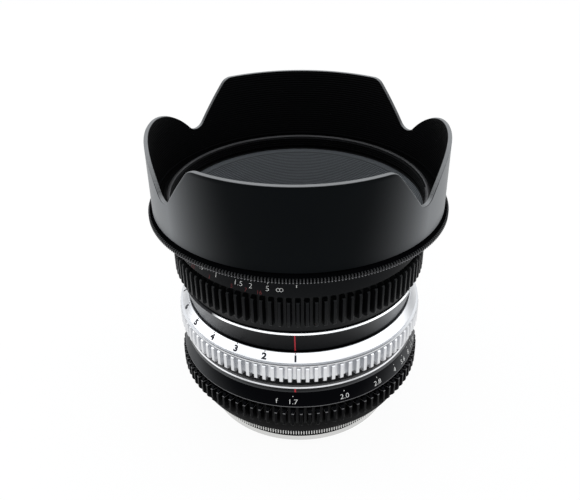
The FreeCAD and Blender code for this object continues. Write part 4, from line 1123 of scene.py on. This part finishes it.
@dataclass
class Hood:
    """The petal hood and the knurled ring at its foot."""

    radius: float = 44.0
    wall: float = 1.2
    bore: float = 41.08
    bottom: float = 77.65
    floor: float = 79.597
    step: float = 0.5
    top: float = 102.097
    side_top: float = 99.197
    valley: float = 88.097
    valley_round: float = 4.0
    corner_round: float = 4.0
    hill_round: float = 30.0
    flank: float = 51.3
    notch: float = 53.3
    moving_from: float = 81.0
    inner_round: float = 0.12
    outer_round: float = 0.55
    rim_slack: float = 0.002
    steps: int = 720
    rows: int = 16
    grip_bottom: float = 75.197
    grip_radius: float = 45.3
    grip_height: float = 2.2
    tooth_height: float = 1.4
    groove_radius: float = 43.2
    tooth_depth: float = 0.5
    foot_chamfer: float = 0.2
    tooth_gap: float = 0.05
    grip_teeth: int = 314

    def rim(self, spot: Vector) -> float:
        """Give the rim's height over a place on the hood's wall.

        The wall is looked at squarely at each of the four notches. The notch is
        a straight flank to the tall petal, a round valley, and a low hill.

        Args:
            spot: The place, in millimetres.

        Returns:
            The height of the rim there.
        """
        notch = Vector((math.sin(math.radians(self.notch)), -math.cos(math.radians(self.notch)), 0.0))
        quarter = Vector((abs(spot.x), -abs(spot.y), 0.0))
        across = notch.x * quarter.y - notch.y * quarter.x
        return self.notch_height(-across, math.radians(self.flank))

    def notch_height(self, across: float, lean: float) -> float:
        """Give a notch's edge, from the low hill through the valley to the tall petal.

        Args:
            across: The distance across the notch, with the tall petal on the plus side.
            lean: The flank's slope in radians.

        Returns:
            The edge's height.
        """
        centre = self.valley + self.valley_round
        foot = self.valley_round * math.sin(lean)
        foot_height = centre - self.valley_round * math.cos(lean)
        shoulder_height = self.top - self.corner_round + self.corner_round * math.cos(lean)
        shoulder = foot + (shoulder_height - foot_height) / math.tan(lean)
        corner = shoulder + self.corner_round * math.sin(lean)
        hill_low = self.side_top - self.hill_round
        hill = -math.sqrt((self.valley_round + self.hill_round) ** 2 - (centre - hill_low) ** 2)
        meet = hill * self.valley_round / (self.valley_round + self.hill_round)
        if across <= hill:
            return self.side_top
        if across <= meet:
            return hill_low + math.sqrt(self.hill_round ** 2 - (across - hill) ** 2)
        if across <= foot:
            return centre - math.sqrt(self.valley_round ** 2 - across ** 2)
        if across <= shoulder:
            return foot_height + (across - foot) * math.tan(lean)
        if across <= corner:
            rise = math.sqrt(self.corner_round ** 2 - (across - corner) ** 2)
            return self.top - self.corner_round + rise
        return self.top

    def shell(self) -> None:
        """Build the shell: a turned tube whose upper rows follow the petals' rim."""
        span = self.top - self.moving_from
        heights = [self.moving_from + span * row / self.rows for row in range(self.rows + 1)]
        outer = [(self.radius, height) for height in heights]
        inner = [(self.radius - self.wall, height) for height in reversed(heights)]
        step = self.radius - self.wall - self.step
        foot = [
            (self.radius - self.wall, self.floor + self.step),
            (step, self.floor + self.step),
            (step, self.floor),
            (self.bore, self.floor),
            (self.bore, self.bottom),
            (self.radius, self.bottom),
        ]
        piece = Workpiece().turn(outer + inner + foot, self.steps)

        def lower(spot: Vector) -> Vector:
            """Bring a place above the fixed foot down in step with the rim over it.

            Args:
                spot: The place, in millimetres.

            Returns:
                Its new place.
            """
            if spot.z <= self.moving_from:
                return spot
            share = (spot.z - self.moving_from) / span
            return Vector((spot.x, spot.y, self.moving_from + share * (self.rim(spot) - self.moving_from)))

        piece.bend(lower)
        self.round_rim(piece)
        piece.fit(
            "hood_petals", Body.HOOD, Slot.HOOD, FINISHES.hood, ["hood_shell"], smooth_below=32.0,
        )

    def round_rim(self, piece: Workpiece) -> None:
        """Round the rim's two edges, the outer one more.

        Args:
            piece: The hood's wall.
        """
        piece.mesh.normal_update()
        rim_faces = {
            face for face in piece.mesh.faces
            if all(abs(vert.co.z - self.rim(vert.co)) < self.rim_slack for vert in face.verts)
        }
        edges = [
            edge for edge in piece.mesh.edges
            if sum(face in rim_faces for face in edge.link_faces) == 1
        ]
        middle = self.radius - self.wall / 2
        inner_edges = [edge for edge in edges if edge.verts[0].co.xy.length < middle]
        outer_edges = [edge for edge in edges if edge.verts[0].co.xy.length > middle]
        for ring, width in ((inner_edges, self.inner_round), (outer_edges, self.outer_round)):
            piece.bevel(ring, width, segments=3, held=True)

    def grip(self) -> None:
        """Build the ring at the hood's foot, with its row of small teeth."""
        foot = self.grip_radius - self.tooth_depth
        top = self.grip_bottom + self.grip_height
        crest = self.grip_bottom + self.tooth_height
        piece = Workpiece().turn([
            (self.bore, self.grip_bottom), (foot - self.foot_chamfer, self.grip_bottom),
            (foot, self.grip_bottom + self.foot_chamfer), (foot, crest), (self.groove_radius, top),
            (self.groove_radius, self.bottom), (self.bore, self.bottom),
        ], steps=240)
        # The grip ring takes the non-reflecting black as painted shade in its groove.
        piece.fit("hood_grip", Body.HOOD, Slot.HOOD, FINISHES.groove, ["hood_grip_ring"])
        low = self.grip_bottom + self.tooth_gap
        row = Knurl(self.grip_teeth, foot, self.grip_radius, low, crest)
        row.cut().fit("hood_grip_teeth", Body.HOOD, Slot.HOOD, FINISHES.grip_teeth)

    def build(self) -> None:
        """Build the hood."""
        self.shell()
        self.grip()


@dataclass
class FrontEnd:
    """The front barrel with its filter ring, plain front ring, ribbed baffle and front glass."""

    filter_bore: float = 38.1
    filter_thread: float = 38.5
    filter_radius: float = 39.6
    relief: float = 38.9
    relief_top: float = 76.697
    front_radius: float = 41.0
    seat: float = 74.997
    front_top: float = 79.397
    filter_top: float = 80.397
    name_bore: float = 35.9
    baffle_mouth: Corner = (35.7, 75.397)
    baffle_end: Corner = (23.8, 66.109)
    baffle_wall: float = 1.3
    baffle_ribs: int = 26
    rib_outline: tuple[Corner, ...] = ((0.0, 0.0), (0.42, 0.2), (0.62, 1.15))
    glass_radius: float = 23.3
    glass_top: float = 66.409
    glass_curve: float = 95.0
    glass_hollow: float = 120.0
    glass_thickness: float = 2.5
    glass_rows: int = 24
    spigot_bore: float = 29.5
    spigot_bottom: float = 61.6
    barrel_bore: float = 32.0
    barrel_radius: float = 34.0
    barrel_top: float = 69.5
    bottom: float = 71.5
    shoulder: float = 36.6
    cone_gap: float = 0.1
    filter_chamfer: float = 0.35
    name_outer_height: float = 0.9
    name_inner_height: float = 0.45
    thread_pitch: float = 0.75
    thread_start: float = 0.34
    thread_foot: float = 0.33
    thread_crest: float = 0.06
    thread_sunk: float = 0.05
    thread_turns: int = 4
    thread_facets: int = 180

    def barrel(self) -> None:
        """Build the front barrel."""
        slope = (self.baffle_mouth[1] - self.baffle_end[1]) / (self.baffle_mouth[0] - self.baffle_end[0])
        under = self.baffle_end[1] - self.baffle_wall
        piece = Workpiece().turn([
            (self.spigot_bore, self.spigot_bottom), (self.barrel_bore, self.spigot_bottom),
            (self.barrel_bore, self.barrel_top), (self.barrel_radius, self.barrel_top),
            (self.barrel_radius, self.bottom), (self.shoulder, self.bottom),
            (self.front_radius, self.seat - self.cone_gap), (self.front_radius, self.front_top),
            (self.filter_radius, self.front_top), (self.filter_radius, self.seat),
            (self.name_bore, self.seat),
            (self.name_bore, under + (self.name_bore - self.baffle_end[0]) * slope),
            (self.spigot_bore, under + (self.spigot_bore - self.baffle_end[0]) * slope),
        ])
        piece.soften(width=0.12)
        piece.fit("front_shell", Body.BARREL, Slot.BLACK, FINISHES.teeth, ["front_barrel"])

    def filter_ring(self) -> None:
        """Build the filter ring, with its thread as one long ridge."""
        piece = Workpiece().turn([
            (self.relief, self.seat), (self.filter_radius, self.seat),
            (self.filter_radius, self.filter_top - self.filter_chamfer),
            (self.filter_radius - self.filter_chamfer, self.filter_top),
            (self.filter_thread, self.filter_top), (self.filter_thread, self.relief_top),
            (self.relief, self.relief_top),
        ])
        piece.soften(width=0.1)
        piece.join(self.thread())
        piece.fit("filter_thread_ring", Body.BARREL, Slot.BLACK, FINISHES.filter, ["filter_ring"])

    def thread(self) -> Workpiece:
        """Wind the ridge of the thread up the bore, its faces towards the axis.

        Returns:
            The ridge.
        """
        ridge = Workpiece()
        low = self.relief_top + self.thread_start
        foot = self.filter_thread + self.thread_sunk
        places = (
            (foot, low - self.thread_foot), (self.filter_bore, low - self.thread_crest),
            (self.filter_bore, low + self.thread_crest), (foot, low + self.thread_foot),
        )
        corners = [ridge.mesh.verts.new((radius, 0.0, height)) for radius, height in places]
        edges = [ridge.mesh.edges.new(pair) for pair in zip(corners, corners[1:])]
        bmesh.ops.spin(
            ridge.mesh, geom=corners + edges, cent=ORIGIN, axis=AXIS, angle=FULL_TURN * self.thread_turns,
            steps=self.thread_turns * self.thread_facets,
            dvec=Vector((0.0, 0.0, self.thread_pitch / self.thread_facets)),
        )
        bmesh.ops.recalc_face_normals(ridge.mesh, faces=ridge.mesh.faces)
        ridge.mesh.normal_update()
        ridge.mesh.faces.ensure_lookup_table()
        first = ridge.mesh.faces[0]
        if first.normal.dot(first.calc_center_median()) > 0:
            bmesh.ops.reverse_faces(ridge.mesh, faces=ridge.mesh.faces)
        return ridge

    def name_ring(self) -> None:
        """Build the plain ring behind the filter thread."""
        piece = Workpiece().turn([
            (self.name_bore, self.seat), (self.relief, self.seat),
            (self.relief, self.seat + self.name_outer_height),
            (self.name_bore, self.seat + self.name_inner_height),
        ])
        piece.soften(width=0.08)
        piece.fit("plain_front_ring", Body.BARREL, Slot.BLACK, FINISHES.name_ring, ["name_ring"])

    def baffle(self) -> None:
        """Build the ribbed baffle that leads down to the front glass."""
        across = (self.baffle_mouth[0] - self.baffle_end[0]) / self.baffle_ribs
        down = (self.baffle_mouth[1] - self.baffle_end[1]) / self.baffle_ribs
        outline = [
            (self.baffle_end[0], self.baffle_end[1] - self.baffle_wall),
            (self.baffle_mouth[0], self.baffle_mouth[1] - self.baffle_wall),
        ]
        for rib in range(self.baffle_ribs, 0, -1):
            for inward, drop in self.rib_outline:
                radius = self.baffle_end[0] + across * (rib - inward)
                outline.append((radius, self.baffle_end[1] + down * (rib - drop)))
        outline.append(self.baffle_end)
        piece = Workpiece().turn(outline)
        piece.fit("ribbed_baffle", Body.BARREL, Slot.BAFFLE, FINISHES.baffle, ["front_baffle"])

    def dome(self, vertex: float, curve: float) -> list[Corner]:
        """Give the outline of a spherical glass face from the axis to the edge."""
        radii = [self.glass_radius * row / self.glass_rows for row in range(self.glass_rows + 1)]
        return [(radius, vertex - curve + math.sqrt(curve ** 2 - radius ** 2)) for radius in radii]

    def glass(self) -> None:
        """Build the domed front element."""
        front = self.dome(self.glass_top, self.glass_curve)
        back = self.dome(self.glass_top - self.glass_thickness, self.glass_hollow)
        piece = Workpiece().turn(front + back[::-1], steps=192, closed=False)
        bmesh.ops.remove_doubles(piece.mesh, verts=piece.mesh.verts, dist=4 * WELD)
        piece.fit(
            "front_glass", Body.BARREL, Slot.GLASS, FINISHES.glass, ["front_element"], recalculate=True,
        )

    def build(self) -> None:
        """Build the front end."""
        self.barrel()
        self.filter_ring()
        self.name_ring()
        self.baffle()
        self.glass()


@dataclass
class FocusRing:
    """The geared focus ring and its distance scale."""

    bore: float = 34.08
    skirt: float = 36.85
    bottom: float = 53.4
    gear: Gear = field(default_factory=lambda: Gear(96, 56.4, 64.7))
    scale: Scale = Scale((38.4, 66.0), (36.8, 71.2))
    infinity: Corner = (-6.2, -4.85)

    def ring(self) -> None:
        """Build the ring and its teeth."""
        gear = self.gear
        piece = Workpiece().turn([
            (self.bore, self.bottom), (self.skirt, self.bottom), (self.skirt, gear.bottom),
            (gear.root, gear.bottom), (gear.root, self.scale.low[1]), self.scale.low, self.scale.high,
            (self.bore, self.scale.high[1]),
        ])
        piece.soften(width=0.1)
        piece.join(gear.cut())
        piece.fit("focus_gear_ring", Body.FOCUS, Slot.BLACK, FINISHES.teeth, ["focus_ring"])

    def figures(self) -> None:
        """Engrave the distances, white above and red below."""
        white = Engraving(self.scale, bold=-0.018)
        distances = (
            ("1", -35.0), ("1.5", -23.6), ("2", -17.9), ("5", -10.6),
            (".9", -44.0), (".8", -54.0), (".7", -66.0), (".6", -80.0), (".5", -97.0), (".45", -112.0),
        )
        for text, azimuth in distances:
            white.figure(text, azimuth, foot=1.5, height=1.4, narrow=1.15)
            white.dash(azimuth, foot=3.45, width=0.12, length=0.45)
        for azimuth in self.infinity:
            white.loop(azimuth, foot=2.1, radius=0.47, width=0.13)
        white.dash(azimuth=1.4, foot=2.9, width=0.2, length=0.75)
        white.fit("focus_metres", Body.FOCUS, Slot.BLACK, FINISHES.white_ink)
        red = Engraving(self.scale, bold=0.0)
        feet = (
            ("3", -38.5), ("5", -26.5), ("7", -19.9), ("16", -14.0), ("2.5", -50.0), ("2", -75.0),
            ("1.5", -104.0),
        )
        for text, azimuth in feet:
            red.figure(text, azimuth, foot=0.25, height=1.1)
        red.fit("focus_feet", Body.FOCUS, Slot.BLACK, FINISHES.dim_red_ink)

    def build(self) -> None:
        """Build the focus ring."""
        self.ring()
        self.figures()


@dataclass
class IndexBarrel:
    """The fixed barrel between the focus and control rings, and its red line."""

    root: float = 34.0
    scale: Scale = Scale((35.5, 45.2), (37.4, 52.4))
    chamfer: float = 0.6
    foot: float = 43.4
    polish: float = 0.38
    edge_depth: float = 0.2
    line_azimuth: float = 0.3
    line_foot: float = 0.1
    line_width: float = 0.36
    line_short: float = 0.15

    def build(self) -> None:
        """Build the barrel, its polished edge and its line."""
        low, high = self.scale.low, self.scale.high
        top = (high[0] - self.chamfer, high[1] + self.chamfer)
        inner = self.edge_depth
        shine = (high[0] - self.polish, high[1] + self.polish)
        band = Workpiece().turn([
            (self.root, self.foot), (low[0], self.foot), low, high, (high[0] - inner, high[1]),
            (shine[0] - inner, shine[1]), shine, top, (self.root, top[1]),
        ])
        band.fit("index_band", Body.BARREL, Slot.BLACK, FINISHES.band, ["index_barrel"])
        edge = Workpiece().turn([high, shine, (shine[0] - inner, shine[1]), (high[0] - inner, high[1])])
        edge.fit("index_bright_edge", Body.BARREL, Slot.SILVER, FINISHES.bright_edge)
        length = math.hypot(high[0] - low[0], high[1] - low[1]) - self.line_short
        line = Engraving(self.scale).dash(self.line_azimuth, self.line_foot, self.line_width, length)
        line.fit("index_line", Body.BARREL, Slot.BLACK, FINISHES.red_ink)


@dataclass
class ControlRing:
    """The silver ring, numbered from 1 to 7."""

    bore: float = 34.08
    skirt: float = 36.85
    bottom: float = 33.4
    bead: float = 38.9
    bead_bottom: float = 41.95
    bead_top: float = 42.4
    groove: float = 38.0
    recess: float = 36.0
    recess_floor: float = 43.0
    lip: float = 0.06
    skirt_gap: float = 0.02
    gear: Gear = field(default_factory=lambda: Gear(96, 36.1, 41.5, tip_width=1.0, edge=0.1))
    scale: Scale = Scale((38.3, 42.9), (36.35, 45.2))
    figures: int = 7
    first: float = 0.5
    spacing: float = 14.0

    def build(self) -> None:
        """Build the ring, its teeth and its figures."""
        gear = self.gear
        piece = Workpiece().turn([
            (self.bore, gear.bottom), (gear.root, gear.bottom), (gear.root, self.bead_bottom),
            (self.bead, self.bead_bottom), (self.bead, self.bead_top - self.lip),
            (self.groove, self.bead_top), (self.groove, self.scale.low[1] - self.lip),
            self.scale.low, self.scale.high, (self.recess, self.scale.high[1]),
            (self.recess, self.recess_floor), (self.bore, self.recess_floor),
        ])
        piece.soften(width=0.05)
        piece.join(gear.cut())
        piece.fit("control_gear_ring", Body.CONTROL, Slot.SILVER, FINISHES.silver, ["control_ring"])
        # The skirt under the silver teeth is a separate black piece, as painted shade under the teeth.
        top = gear.bottom - self.skirt_gap
        skirt = Workpiece().turn([
            (self.bore, self.bottom), (self.skirt, self.bottom), (self.skirt, top), (self.bore, top),
        ])
        skirt.soften(width=0.07)
        skirt.fit("control_skirt_painted_shade", Body.CONTROL, Slot.BLACK, FINISHES.anodised)
        ink = Engraving(self.scale, bold=0.05)
        for number in range(self.figures):
            azimuth = self.first - self.spacing * number
            ink.figure(str(number + 1), azimuth, foot=0.38, height=2.0, narrow=1.15)
            ink.dash(azimuth, foot=2.58, width=0.3, length=0.36)
        ink.fit("control_figures", Body.CONTROL, Slot.SILVER, FINISHES.dark_ink)


@dataclass
class LowerIndexRing:
    """The narrow fixed ring under the silver one, and its red mark."""

    root: float = 34.0
    radius: float = 37.7
    bottom: float = 31.3
    top: float = 33.1
    chamfer: float = 0.3

    def build(self) -> None:
        """Build the ring and its mark."""
        shoulder = self.top - self.chamfer
        piece = Workpiece().turn([
            (self.root, self.bottom), (self.radius, self.bottom),
            (self.radius, shoulder), (self.radius - self.chamfer, self.top), (self.root, self.top),
        ])
        piece.soften(width=0.06)
        piece.fit("lower_index_band", Body.BARREL, Slot.BLACK, FINISHES.lower_band, ["aperture_index_ring"])
        scale = Scale((self.radius, self.bottom), (self.radius, shoulder))
        mark = Engraving(scale).dash(azimuth=0.2, foot=0.1, width=0.5, length=1.3)
        mark.fit("lower_index_mark", Body.BARREL, Slot.BLACK, FINISHES.red_ink)


@dataclass
class ApertureRing:
    """The geared aperture ring and its scale."""

    bore: float = 34.08
    skirt: float = 36.85
    bottom: float = 18.3
    gear: Gear = field(default_factory=lambda: Gear(97, 18.8, 25.2, chamfer=0.9))
    scale: Scale = Scale((38.9, 26.4), (37.4, 31.0))

    def build(self) -> None:
        """Build the ring, its teeth and its figures."""
        gear = self.gear
        piece = Workpiece().turn([
            (self.bore, self.bottom), (self.skirt, self.bottom), (self.skirt, gear.bottom),
            (gear.root, gear.bottom), (gear.root, self.scale.low[1]), self.scale.low, self.scale.high,
            (self.bore, self.scale.high[1]),
        ])
        piece.soften(width=0.12)
        piece.fit(
            "aperture_gear_ring", Body.APERTURE, Slot.BLACK, FINISHES.aperture_band, ["aperture_ring"],
        )
        gear.cut().fit("aperture_gear_teeth", Body.APERTURE, Slot.BLACK, FINISHES.aperture_teeth)
        ink = Engraving(self.scale, bold=-0.012)
        stops = (
            ("1.7", -0.9), ("2.0", 22.7), ("2.8", 40.6), ("4", 53.0),
            ("5.6", 61.0), ("8", 68.0), ("11", 73.6), ("16", 78.6),
        )
        for text, azimuth in stops:
            ink.figure(text, azimuth, foot=1.05, height=1.5, narrow=1.1)
            ink.dot(azimuth, foot=3.55, radius=0.15)
        ink.figure("f", azimuth=-8.2, foot=1.05, height=1.5)
        ink.fit("aperture_figures", Body.APERTURE, Slot.BLACK, FINISHES.white_ink)


@dataclass
class RearEnd:
    """The rear housing and the fine-toothed ring under it."""

    housing_radius: float = 36.0
    housing_bottom: float = 11.2
    housing_top: float = 18.0
    barrel_radius: float = 34.0
    floor: float = 13.2
    chamfer: float = 2.4
    bore: float = 26.0
    neck: float = 30.5
    flange_top: float = 6.4
    ring_bore: float = 31.0
    ring_radius: float = 33.5
    ring_bottom: float = 9.3
    ring_top: float = 11.0
    ring_chamfer: float = 0.2
    ring_teeth: int = 256
    tooth_depth: float = 0.6
    tooth_share: float = 0.44

    def housing(self) -> None:
        """Build the housing."""
        body = Workpiece().turn([
            (self.bore, self.flange_top), (self.neck, self.flange_top), (self.neck, self.ring_bottom),
            (self.ring_bore, self.ring_bottom), (self.ring_bore, self.housing_bottom),
            (self.housing_radius - self.chamfer, self.housing_bottom),
            (self.housing_radius, self.housing_bottom + self.chamfer),
            (self.housing_radius, self.housing_top), (self.barrel_radius, self.housing_top),
            (self.barrel_radius, self.floor), (self.bore, self.floor),
        ])
        body.soften(width=0.12)
        body.fit("rear_shell", Body.BARREL, Slot.BLACK, FINISHES.well, ["rear_housing"])

    def clamp_ring(self) -> None:
        """Build the fine-toothed ring."""
        foot, cut = self.ring_radius - self.tooth_depth, self.ring_chamfer
        core = Workpiece().turn([
            (self.ring_bore, self.ring_bottom), (foot - cut, self.ring_bottom),
            (foot, self.ring_bottom + cut), (foot, self.ring_top - cut),
            (foot - cut, self.ring_top), (self.ring_bore, self.ring_top),
        ])
        # The steel core between the fine teeth takes the inner black, as painted shade between the teeth.
        core.fit("fine_ring_core_painted_shade", Body.BARREL, Slot.STEEL, FINISHES.well, ["mount_clamp_ring"])
        row = Knurl(
            self.ring_teeth, foot, self.ring_radius, self.ring_bottom, self.ring_top, self.tooth_share,
        )
        row.cut().fit("fine_ring_teeth", Body.BARREL, Slot.STEEL, FINISHES.fine_teeth)

    def build(self) -> None:
        """Build the rear end."""
        self.housing()
        self.clamp_ring()


@dataclass(frozen=True)
class Inside:
    """The CAD nodes that keep their own shapes, and their finishes."""

    def build(self) -> None:
        """Give every CAD node a finish."""
        by_slot = {
            Slot.BLACK: FINISHES.well,
            Slot.HOOD: FINISHES.hood,
            Slot.SILVER: FINISHES.silver,
            Slot.MOUNT: FINISHES.mount,
            Slot.STEEL: FINISHES.steel,
            Slot.BLADE: FINISHES.blade,
            Slot.BAFFLE: FINISHES.baffle,
            Slot.GLASS: FINISHES.inner_glass,
        }
        for entry in frame["record"]["subparts"]:
            piece = frame["nodes"][entry["node"]]
            piece.data.materials.clear()
            piece.data.materials.append(FINISHES.get(by_slot[Slot(entry["material_slot"])]))


@dataclass
class Studio:
    """The pale floor, the soft lamps and the camera."""

    distance: float = 192.37
    height: float = 177.02
    azimuth: float = 2.5
    tilt: float = 31.902
    roll: float = -0.598
    focal: float = 43.88
    shift: float = -0.01535
    sensor: float = 36.0
    near: float = 0.005
    floor_size: float = 6.0
    floor_glow: float = 0.93
    aim: Triple = (0.0, 0.0, 0.05)
    daylight: Colour = (0.96, 0.98, 1.0)
    dome: tuple[float, float, float, float] = (0.08, 0.5, 0.35, 1.2)

    def camera(self) -> None:
        """Set the camera where the photograph was taken from."""
        turn, down, roll = (math.radians(angle) for angle in (self.azimuth, self.tilt, self.roll))
        right = Vector((math.cos(turn), math.sin(turn), 0.0))
        ahead = Vector((-math.sin(turn) * math.cos(down), math.cos(turn) * math.cos(down), -math.sin(down)))
        upward = right.cross(ahead)
        across = right * math.cos(roll) + upward * math.sin(roll)
        top = upward * math.cos(roll) - right * math.sin(roll)
        spot = Vector((math.sin(turn) * self.distance, -math.cos(turn) * self.distance, self.height)) * MM
        data = bpy.data.cameras.new("camera")
        data.sensor_width = self.sensor
        data.sensor_fit = "HORIZONTAL"
        data.lens = self.focal
        data.shift_x = self.shift
        data.clip_start = self.near
        camera = bpy.data.objects.new("camera", data)
        frame_axes = Matrix((across, top, -ahead)).transposed().to_4x4()
        camera.matrix_world = Matrix.Translation(spot) @ frame_axes
        bpy.context.scene.collection.objects.link(camera)
        bpy.context.scene.camera = camera

    def floor(self) -> None:
        """Lay a white floor that keeps the shadow."""
        piece = bmesh.new()
        bmesh.ops.create_grid(piece, x_segments=1, y_segments=1, size=self.floor_size / 2)
        data = bpy.data.meshes.new("floor")
        piece.to_mesh(data)
        piece.free()
        bench = Bench("floor_white")
        bench.set(Base_Color=(0.86, 0.86, 0.86, 1.0), Roughness=0.9, Specular_IOR_Level=0.1)
        rays = bench.node("ShaderNodeLightPath")
        direct = ("Is Camera Ray", "Is Glossy Ray", "Is Transmission Ray")
        camera, glossy, through = (Shade(bench, rays.outputs[name]) for name in direct)
        glow = bench.node("ShaderNodeEmission", inputs={"Color": (1.0, 1.0, 1.0, 1.0), "Strength": 1.0})
        share = (camera + glossy + through).held(0.0, 1.0) * self.floor_glow
        inputs = {0: share, 1: bench.surface.outputs[0], 2: glow.outputs[0]}
        mix = bench.node("ShaderNodeMixShader", inputs=inputs)
        bench.feed(bench.output.inputs["Surface"], mix.outputs[0])
        data.materials.append(bench.material)
        floor = bpy.data.objects.new("floor", data)
        bpy.context.scene.collection.objects.link(floor)

    def lamp(self, name: str, spot: Sequence[float], size: Corner, glow: float) -> None:
        """Hang a soft lamp that shines at the lens.

        Args:
            name: The lamp's name.
            spot: Its place in metres.
            size: Its width and height in metres.
            glow: How bright its face is, where 1 is white.
        """
        data = bpy.data.lights.new(name, "AREA")
        data.shape = "RECTANGLE"
        data.size, data.size_y = size
        data.energy = glow * math.pi * size[0] * size[1]
        lamp = bpy.data.objects.new(name, data)
        facing = (Vector(self.aim) - Vector(spot)).to_track_quat("-Z", "Y").to_matrix().to_4x4()
        lamp.matrix_world = Matrix.Translation(Vector(spot)) @ facing
        bpy.context.scene.collection.objects.link(lamp)

    def world(self) -> None:
        """Light the room plainly, and show it white."""
        world = bpy.data.worlds.new("room")
        world.use_nodes = True
        nodes, links = world.node_tree.nodes, world.node_tree.links
        nodes.clear()
        output = nodes.new("ShaderNodeOutputWorld")
        seen = nodes.new("ShaderNodeBackground")
        seen.inputs["Color"].default_value = (1.0, 1.0, 1.0, 1.0)
        seen.inputs["Strength"].default_value = 1.0
        split = nodes.new("ShaderNodeSeparateXYZ")
        links.new(nodes.new("ShaderNodeTexCoord").outputs["Generated"], split.inputs[0])
        dome = nodes.new("ShaderNodeMapRange")
        dome.interpolation_type = "SMOOTHSTEP"
        for name, value in zip(("From Min", "From Max", "To Min", "To Max"), self.dome):
            dome.inputs[name].default_value = value
        links.new(split.outputs[2], dome.inputs["Value"])
        room = nodes.new("ShaderNodeBackground")
        room.inputs["Color"].default_value = (*self.daylight, 1.0)
        links.new(dome.outputs[0], room.inputs["Strength"])
        rays = nodes.new("ShaderNodeLightPath")
        mix = nodes.new("ShaderNodeMixShader")
        links.new(rays.outputs["Is Camera Ray"], mix.inputs[0])
        links.new(room.outputs[0], mix.inputs[1])
        links.new(seen.outputs[0], mix.inputs[2])
        links.new(mix.outputs[0], output.inputs[0])
        bpy.context.scene.world = world

    def build(self) -> None:
        """Set up the studio."""
        self.camera()
        self.floor()
        self.world()
        self.lamp("front", spot=(0.0, -0.62, 0.72), size=(1.3, 0.6), glow=0.5)
        self.lamp("left", spot=(-0.8, 0.0, 0.4), size=(0.8, 0.6), glow=1.2)
        self.lamp("right", spot=(0.8, 0.0, 0.4), size=(0.8, 0.6), glow=1.0)
        bpy.context.scene.view_settings.view_transform = "Standard"


def main() -> None:
    """Build the scene piece by piece."""
    logging.basicConfig(level=logging.INFO, format="%(name)s: %(message)s")
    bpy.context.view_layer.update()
    for part in (
        Inside(), Hood(), FrontEnd(), FocusRing(), IndexBarrel(), ControlRing(),
        LowerIndexRing(), ApertureRing(), RearEnd(), Studio(),
    ):
        part.build()
        LOG.info("%s is built", type(part).__name__)


if __name__ == "__main__":
    main()
